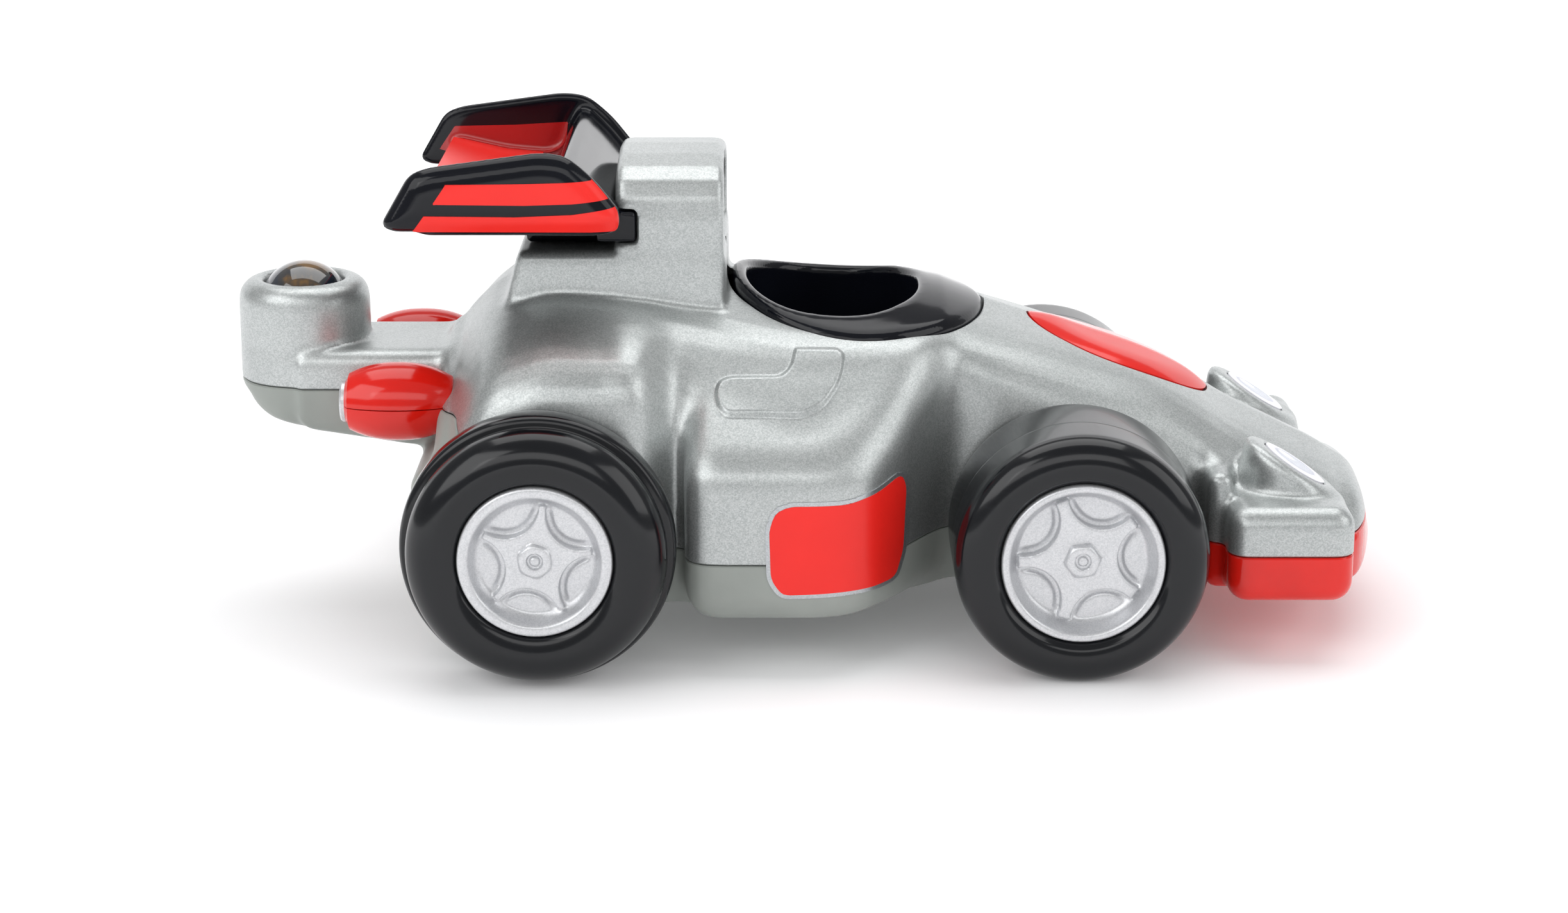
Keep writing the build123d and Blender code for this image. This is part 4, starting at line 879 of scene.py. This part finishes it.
# -------- stickers
# On the wing's side plates, outside and inside, seen from the side.
STRIPE_UPPER = [(-79.4, 99.2), (-76.5, 103.4), (-60.0, 103.6), (-46.0, 104.0), (-38.0, 104.4),
                (-38.0, 100.6), (-43.0, 100.0), (-50.0, 99.3), (-60.0, 99.0)]
STRIPE_LOWER = [(-83.9, 93.1), (-81.3, 96.7), (-62.0, 96.5), (-50.0, 97.0), (-37.0, 98.9),
                (-37.0, 93.4), (-46.0, 93.0)]
INNER = [(-86.0, 96.6), (-82.3, 102.0), (-68.2, 102.3), (-55.8, 103.0), (-56.4, 96.4),
         (-60.0, 94.6), (-84.0, 96.0)]
# On the tray, from the rear forwards.
DECK_LINE = [(-82.4, 99.5), (-70.0, 96.7), (-61.5, 95.95)]
DECK_STICKER_HALF, STICKER_WALL = 35.2, 0.35
BADGE_RAMP, BADGE_DOME = 8, 1.15


def between(points, low, high):
    """Inside an outline seen from the side, between two distances from the car's middle."""
    def line(p):
        out = np.abs(p[:, 1])
        return np.max([outline(points, p[:, 0], p[:, 2]), low - out, out - high], 0)
    return line


def facing_out(shape, side):
    """The line where the wing's surface looks away from the car's middle."""
    def line(p):
        facing = side * WING.normals(p)[:, 1]
        return np.maximum(on_side(shape, side)(p), 0.12 - facing)
    return line


def edge_line(p):
    """A narrow ring round the side label."""
    from_label = in_outline(LABEL, 38)(p)
    return np.maximum(from_label - 0.9, -from_label)


def lamp_dome(p):
    return 0.5 * np.clip(-in_lamp(p) / 5.4, 0, 1) ** 0.7


def badge_dome(p):
    inwards = np.clip(in_badge(p), -BADGE_RAMP, 0) / BADGE_RAMP
    return BADGE_DOME * (1 - (1 + inwards) ** 2.2)


for side, label in SIDES:
    for part, stripe in (("upper", STRIPE_UPPER), ("lower", STRIPE_LOWER)):
        line = facing_out(between(stripe, 39.2, 50), side)
        fixed(f"wing_stripe_{part}_{label}", skin(line, 0.12, 0.3, field=WING, surface=wing),
              STICKER, f"stripe_{part}_{label}", "red_label")
    line = on_side(between(INNER, 35.3, 38.2), side)
    fixed(f"wing_inner_{label}", skin(line, 0.12, 0.3, field=WING, surface=wing),
          DARK_STICKER, f"inner_label_{label}", "red_label")
    fixed(f"side_sticker_{label}", skin(on_side(in_outline(LABEL, 38), side), 0.30, 0.45),
          STICKER, f"side_label_{label}", "red_label")
    fixed(f"side_sticker_edge_{label}", skin(on_side(edge_line, side), 0.22, 0.4),
          EDGE_FOIL, f"side_label_{label}", "red_label")
    fixed(f"lamp_{label}", skin(on_side(in_lamp, side), 0.1, 0.8, 0.3, lamp_dome),
          lamp_material(side, label), f"lamp_lens_{label}", "lens_white")

fixed("badge_oval", skin(in_badge, -0.15, 1.2, 0.45, badge_dome), RED, "nose_badge",
      "red_plastic")

sheet = [(x, y, z) for y in (-DECK_STICKER_HALF, DECK_STICKER_HALF) for x, z in DECK_LINE]
sheet += [(x, y, z + STICKER_WALL) for x, y, z in sheet]
sheet_faces = [[0, 1, 4, 3], [1, 2, 5, 4], [9, 10, 7, 6], [10, 11, 8, 7],
               [0, 3, 9, 6], [5, 2, 8, 11], [1, 0, 6, 7], [2, 1, 7, 8], [3, 4, 10, 9],
               [4, 5, 11, 10]]
fixed("wing_deck_sticker", (sheet, sheet_faces), STICKER, "wing_deck_label", "red_label")


# -------- exhausts
BARREL_END = -77.4  # inside the body's rear face
HALF_GAP = 0.015  # angle left free at each edge of a half barrel


def along_x(points, y, z):
    """Lays a lathe's axis along the car, its turn starting at the car's side."""
    return np.stack([points[:, 2], y - points[:, 0], z + points[:, 1]], 1)


for side, label in SIDES:
    low, high = span(f"exhaust_upper_{label}")
    x0, x1 = low[0], BARREL_END
    y_mid, z_mid = (low[1] + high[1]) / 2, low[2]
    barrel = [(4.2, x0), (4.7, x0 + 0.1), (5.1, x0 + 0.4)]
    for x in np.linspace(x0 + 0.9, x1 - 0.9, 16):
        from_widest = abs((x - x0) / (x1 - x0) * 2 - 0.96)
        barrel.append((8.6 - 3.1 * from_widest ** 2.3, x))
    barrel += [(5.5, x1 - 0.35), (5.0, x1 - 0.05), (4.4, x1), (4.0, x1 - 1.0),
               (5.6, x1 - 4.0), (6.6, (x0 + x1) / 2), (4.6, x0 + 3.0), (2.7, x0 + 2.2),
               (2.7, x0 + 0.3)]
    for half, start in (("upper", 0.0), ("lower", math.pi)):
        points, faces = lathe(barrel, 48, math.pi - 2 * HALF_GAP, start + HALF_GAP)
        fixed(f"exhaust_red_{half}_{label}", (along_x(points, y_mid, z_mid), faces), RED,
              f"exhaust_{half}_{label}", "red_plastic", 40)
    tip = [(0.0, 0.1), (2.2, 0.1), (3.0, -0.4), (3.7, -1.0), (4.2, -1.0), (4.5, -0.6),
           (4.5, 0.2), (2.6, 0.5), (2.6, 2.2), (0.0, 2.2)]
    points, faces = lathe([(radius, x0 + x) for radius, x in tip], 48)
    solid_faces = [f for f in faces if len(set(f)) > 2]
    fixed(f"exhaust_outlet_{label}", (along_x(points, y_mid, z_mid), solid_faces),
          HUB_SILVER, f"exhaust_tip_{label}", "hub_silver")

# -------- ball, moulded in two halves
BALL_TURNS, BALL_RINGS, BALL_GROOVE = 96, 61, 0.05
arc = [(BALL_R * math.cos(t), BALL_R * math.sin(t))
       for t in np.linspace(-math.pi / 2, math.pi / 2, BALL_RINGS)]
arc = [(max(r, 0.0) - (BALL_GROOVE if abs(h) < 0.2 else 0), h) for r, h in arc][1:-1]
points, faces = lathe(arc, BALL_TURNS)
m = len(arc)
# flat caps at the poles take the place of the faces along the axis
faces = [f for f in faces if not {f[0] % m, f[3] % m} == {0, m - 1}]
faces += [[i * m for i in range(BALL_TURNS - 1, -1, -1)],
          [i * m + m - 1 for i in range(BALL_TURNS)]]
build("tail_ball_smoke", points + np.array([POD_X, 0, BALL_Z]), faces, ball_material(), "ball",
      ["tail_ball"], "ball_dark", 0)


# -------- tyres and wheel centres
def tyre_front():
    """Closed outline (radius, distance from the car's middle), from the bore's outer end round."""
    r, out, rim = FRONT_R, FRONT_OUT, 17.35
    # radius and depth below the outer face
    face = [(rim, 2.6), (rim + 0.25, 1.7), (rim + 0.9, 1.0), (18.9, 0.45), (20.0, 0.12),
            (21.4, 0), (22.8, 0.2), (24.1, 0.7), (25.3, 1.5), (26.2, 2.6), (26.75, 3.9),
            (26.97, 5.2), (r, 6.6), (r, 15), (r - 0.05, 16.0), (r, 17.0)]
    inner = [(r, 36.0), (r - 0.2, 34.2), (r - 0.7, 32.8), (r - 1.5, 32.0),
             (rim + 2.6, 32.0), (rim, 35.0)]
    return [(radius, out - depth) for radius, depth in face] + inner


def tyre_rear():
    """Like the front tyre, with a groove behind a smaller outer ring."""
    r, out, rim = REAR_R, REAR_OUT, 16.35
    ring = r - 1.7
    face = [(rim, 2.6), (rim + 0.25, 1.6), (rim + 0.9, 0.9), (18.4, 0.4), (19.8, 0.08),
            (21.4, 0), (23.0, 0.4), (24.4, 1.1), (25.7, 2.2), (26.7, 3.5), (27.25, 4.8),
            (ring, 6.2), (ring - 0.05, 7.3), (ring - 0.5, 7.6), (ring - 1.0, 8.1),
            (ring - 0.6, 8.7), (r - 0.9, 9.1), (r - 0.3, 9.7), (r, 10.6)]
    inner = [(r, 57.5), (r - 0.2, 55.0), (r - 0.7, 53.7), (r - 1.5, 53.0),
             (rim + 2.6, 53.0), (rim, 56.0)]
    return [(radius, out - depth) for radius, depth in face] + inner


# Lengths of a wheel centre, shared by the front and the rear ones.
WELL_SLOPE = 2.2  # how much the dish narrows from its lip to its face
STAR_RISE, PAD_RISE = 2.3, 0.6  # over the face
SCOOP_R, PAD_R = 7.4, 6.2  # hollows between the arms of the star, pads inside them
NUT_HALF, NUT_ROUND, NUT_HOLE, PIN_R = 3.5, 4.1, 1.7, 1.05
BORE_R, TUBE_R, RIM_WALL = 1.5, 4.2, 1.7


def wheel_centre(rim, lip, face, nut, inner, turn, lip_wide):
    """Distance to a wheel centre in its own frame: u, v across the axle and h along it.

    rim is its radius and lip_wide the width of its lip; lip, face, nut and inner are heights
    above the car's middle, and turn the angle of the star in degrees.
    """
    def shape(us, vs, hs):
        u, v, h = us[:, None, None], vs[None, :, None], hs[None, None, :]
        everywhere = 0 * (u + v)
        r = np.sqrt(u ** 2 + v ** 2)
        # dish with a collar that slopes down to its face
        floor = rim - lip_wide - WELL_SLOPE
        well = floor + WELL_SLOPE * np.clip((h - face) / (lip - face), 0, 1) ** 0.6
        dish = smax(r - rim, np.abs(h - face + 1.2) - 1.2, 0.3)
        collar = smax(smax(r - rim, h - lip, 0.9), (well - r) * 0.85, 0.7)
        form = smin(dish, smax(collar, face - 3 - h, 0.5), 2.2)
        # star of five arms: a disc less five scoops, with a low pad in each scoop
        star = r - floor - 0.2
        pads = 1e3 + everywhere
        reach = rim - 2.5
        for arm in range(5):
            a = math.radians(turn + 36 + 72 * arm)
            scoop = np.sqrt((u - reach * math.cos(a)) ** 2 + (v - reach * math.sin(a)) ** 2)
            star = smax(star, SCOOP_R - scoop, 0.3)
            pads = np.minimum(pads, smax(scoop - PAD_R, r - floor + 0.1, 0.6))
        star = smax(smax(star, h - face - STAR_RISE, 0.5), face - 1 - h, 0.2)
        pads = smax(smax(pads, h - face - PAD_RISE, 0.9), face - 1 - h, 0.2)
        form = smin(smin(form, star, 0.5), pads, 0.4)
        # moulded nut with chamfered corners, and the end of the axle in it
        hexagon = -1e3 + everywhere
        for k in range(3):
            a = math.radians(turn + 60 * k)
            flat = np.abs(u * math.cos(a) + v * math.sin(a)) - NUT_HALF
            hexagon = np.maximum(hexagon, flat)
        chamfer = r - NUT_ROUND + 0.9 * np.clip(h - nut + 1.0, 0, 2)
        hexagon = smax(smax(hexagon, h - nut, 0.4), chamfer, 0.3)
        form = smin(form, smax(hexagon, face - 1 - h, 0.2), 0.35)
        form = smax(form, -smax(r - NUT_HOLE, nut - 0.8 - h, 0.3), 0.3)
        form = smin(form, smax(r - PIN_R, h - nut + 0.1, 0.6), 0.2)
        # behind the face: tube round the axle's bore, and the wall inside the tyre
        bore = smax(r - BORE_R, h - face + 0.8, 0.2)
        tube = smax(smax(r - TUBE_R, inner - h, 0.3), h - face, 0.3)
        wall = smax(r - rim, rim - RIM_WALL - r, 0.3)
        wall = smax(smax(wall, inner + 3 - h, 0.3), h - face, 0.3)
        return smax(smin(smin(form, tube, 0.5), wall, 0.5), -bore, 0.2)
    return shape


def centre_field(sizes):
    """The field of a wheel centre, with some room round it."""
    rim, lip, face, nut, inner = sizes[:5]
    room, grid_step = 1.2, 0.34
    half, low, high = rim + room, inner - room, max(lip, nut) + room
    us = np.arange(-half, half + grid_step, grid_step, dtype=np.float32)
    hs = np.arange(low, high + grid_step, grid_step, dtype=np.float32)
    return Field([-half, -half, low], grid_step, wheel_centre(*sizes)(us, us, hs))


# rim, lip, face, nut, inner, turn and lip_wide of wheel_centre
FRONT_CENTRE = (17.3, FRONT_OUT - 0.8, 58.6, 62.4, 33.0, 38.0, 1.7)
REAR_CENTRE = (16.3, REAR_OUT - 0.6, 66.0, 69.2, 54.0, 9.0, 2.3)
for end, wheel_x, wheel_z, profile, sizes in (
        ("front", FRONT_X, FRONT_Z, tyre_front(), FRONT_CENTRE),
        ("rear", REAR_X, REAR_Z, tyre_rear(), REAR_CENTRE)):
    # a curve between the corners bends the tyre a little outwards
    tyre_points, tyre_faces = lathe(curve_through(profile, 3), 144)
    tyre_faces = [f[::-1] for f in tyre_faces]
    hub_points, hub_tris = centre_field(sizes).mesh()
    for side, label in SIDES:
        placed = along_y(tyre_points, wheel_x, wheel_z, side)
        build(f"tyre_{end}_{label}", placed, tyre_faces, TYRE, f"{end}_wheels",
              [f"{end}_tyre_{label}"], "tyre_black", 38)
        # seen from outside, both sides show the same turn of the star
        placed = along_y(hub_points * [-1, 1, 1], wheel_x, wheel_z, side)
        build(f"wheel_centre_{end}_{label}", placed, hub_tris, HUB_SILVER, f"{end}_wheels",
              [f"{end}_hub_{label}"], "hub_silver", 40)

# -------- finishes of the pieces kept from the CAD
FINISHES = {
    STEEL: ["body_screws", "wing_screws", "motor_screws", "front_axle", "rear_axle",
            "idler_pin"],
    SPRING: ["mainspring"],
    NYLON: ["axle_gear", "idler_gear", "spring_gear", "front_bush_left", "front_bush_right",
            "rear_bush_left", "rear_bush_right", "spring_cup"],
    MOTOR: ["motor_housing_left", "motor_housing_right", "ball_seat"],
}
for mat, nodes in FINISHES.items():
    for node in nodes:
        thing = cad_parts[node]
        if not thing.material_slots:
            thing.data.materials.append(mat)
        for place in thing.material_slots:
            place.material = mat


# -------- floor, light and camera
def stage_floor():
    """A pale sweep: flat under the car and rising far behind it, with a painted glow that is weak
    near the car and strong away from it.
    """
    n = Nodes("studio_floor")
    tone = n.mix(n.noise(3.0, 2.0), lin(246, 246, 247), lin(250, 250, 251))
    # painted light: the floor glows, less near the car and more far from it, so it lies darker
    # round the car
    away = n.add("ShaderNodeVectorMath", {0: n.place}, operation="LENGTH").outputs["Value"]
    mat = n.finish(Base_Color=tone, Roughness=n.span(n.noise(8.0), 0.82, 0.9),
                   Specular_IOR_Level=0.1, Normal=n.bump(n.noise(300.0), 0.02, 0.0002),
                   Emission_Color=tone, Emission_Strength=n.span(away, 0.10, 0.72, 0.20, 0.9))
    points, faces = [], []
    half_wide = 7.0
    line = [(-6.0, 0.0), (3.0, 0.0), (3.6, 0.06), (4.1, 0.3), (4.4, 0.8), (4.5, 3.5)]
    for i, (y, z) in enumerate(line):
        points += [(-half_wide, y, z), (half_wide, y, z)]
        if i:
            faces.append([2 * i - 2, 2 * i - 1, 2 * i + 1, 2 * i])
    mesh = bpy.data.meshes.new("floor")
    mesh.from_pydata(points, [], faces)
    mesh.polygons.foreach_set("use_smooth", [True] * len(faces))
    mesh.materials.append(mat)
    floor = bpy.data.objects.new("floor", mesh)
    bpy.context.collection.objects.link(floor)
    floor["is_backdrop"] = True


def soft_light(name, place, aim, size, power):
    light = bpy.data.lights.new(name, "AREA")
    light.shape = "RECTANGLE"
    light.size, light.size_y = size
    light.energy = power
    lamp = bpy.data.objects.new(name, light)
    lamp.location = place
    direction = np.array(aim, float) - np.array(place, float)
    lamp.rotation_euler = Vector(direction.tolist()).to_track_quat("-Z", "Y").to_euler()
    bpy.context.collection.objects.link(lamp)


stage_floor()
world = bpy.data.worlds.new("studio")
world.use_nodes = True
background = world.node_tree.nodes["Background"].inputs
background["Color"].default_value = (1.0, 1.0, 1.0, 1.0)
background["Strength"].default_value = 0.36
bpy.context.scene.world = world
soft_light("top_soft", (0.0, 0.25, 1.05), (0, 0, 0), (1.2, 0.8), 6.5)
soft_light("front_soft", (-0.1, -1.25, 0.75), (0, 0, 0.03), (1.5, 0.5), 4.0)
soft_light("left_soft", (-0.9, -0.7, 0.8), (-0.02, 0, 0.05), (0.9, 0.9), 6.0)
soft_light("right_soft", (1.0, -0.4, 0.6), (0.03, 0, 0.05), (0.8, 0.8), 3.4)

# the photograph's camera, fitted to the wheels, the nose and the tail
LOOKS_DOWN = 15.93
camera = bpy.data.cameras.new("camera")
camera.lens = 73.6
camera.sensor_width = 36.0
camera.clip_start = 0.01
viewer = bpy.data.objects.new("camera", camera)
viewer.location = (-0.0054, -0.70405, 0.2333)
viewer.rotation_euler = (math.radians(90 - LOOKS_DOWN), 0, 0)
bpy.context.collection.objects.link(viewer)
bpy.context.scene.camera = viewer
bpy.context.scene.view_settings.view_transform = "Standard"

low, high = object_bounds()
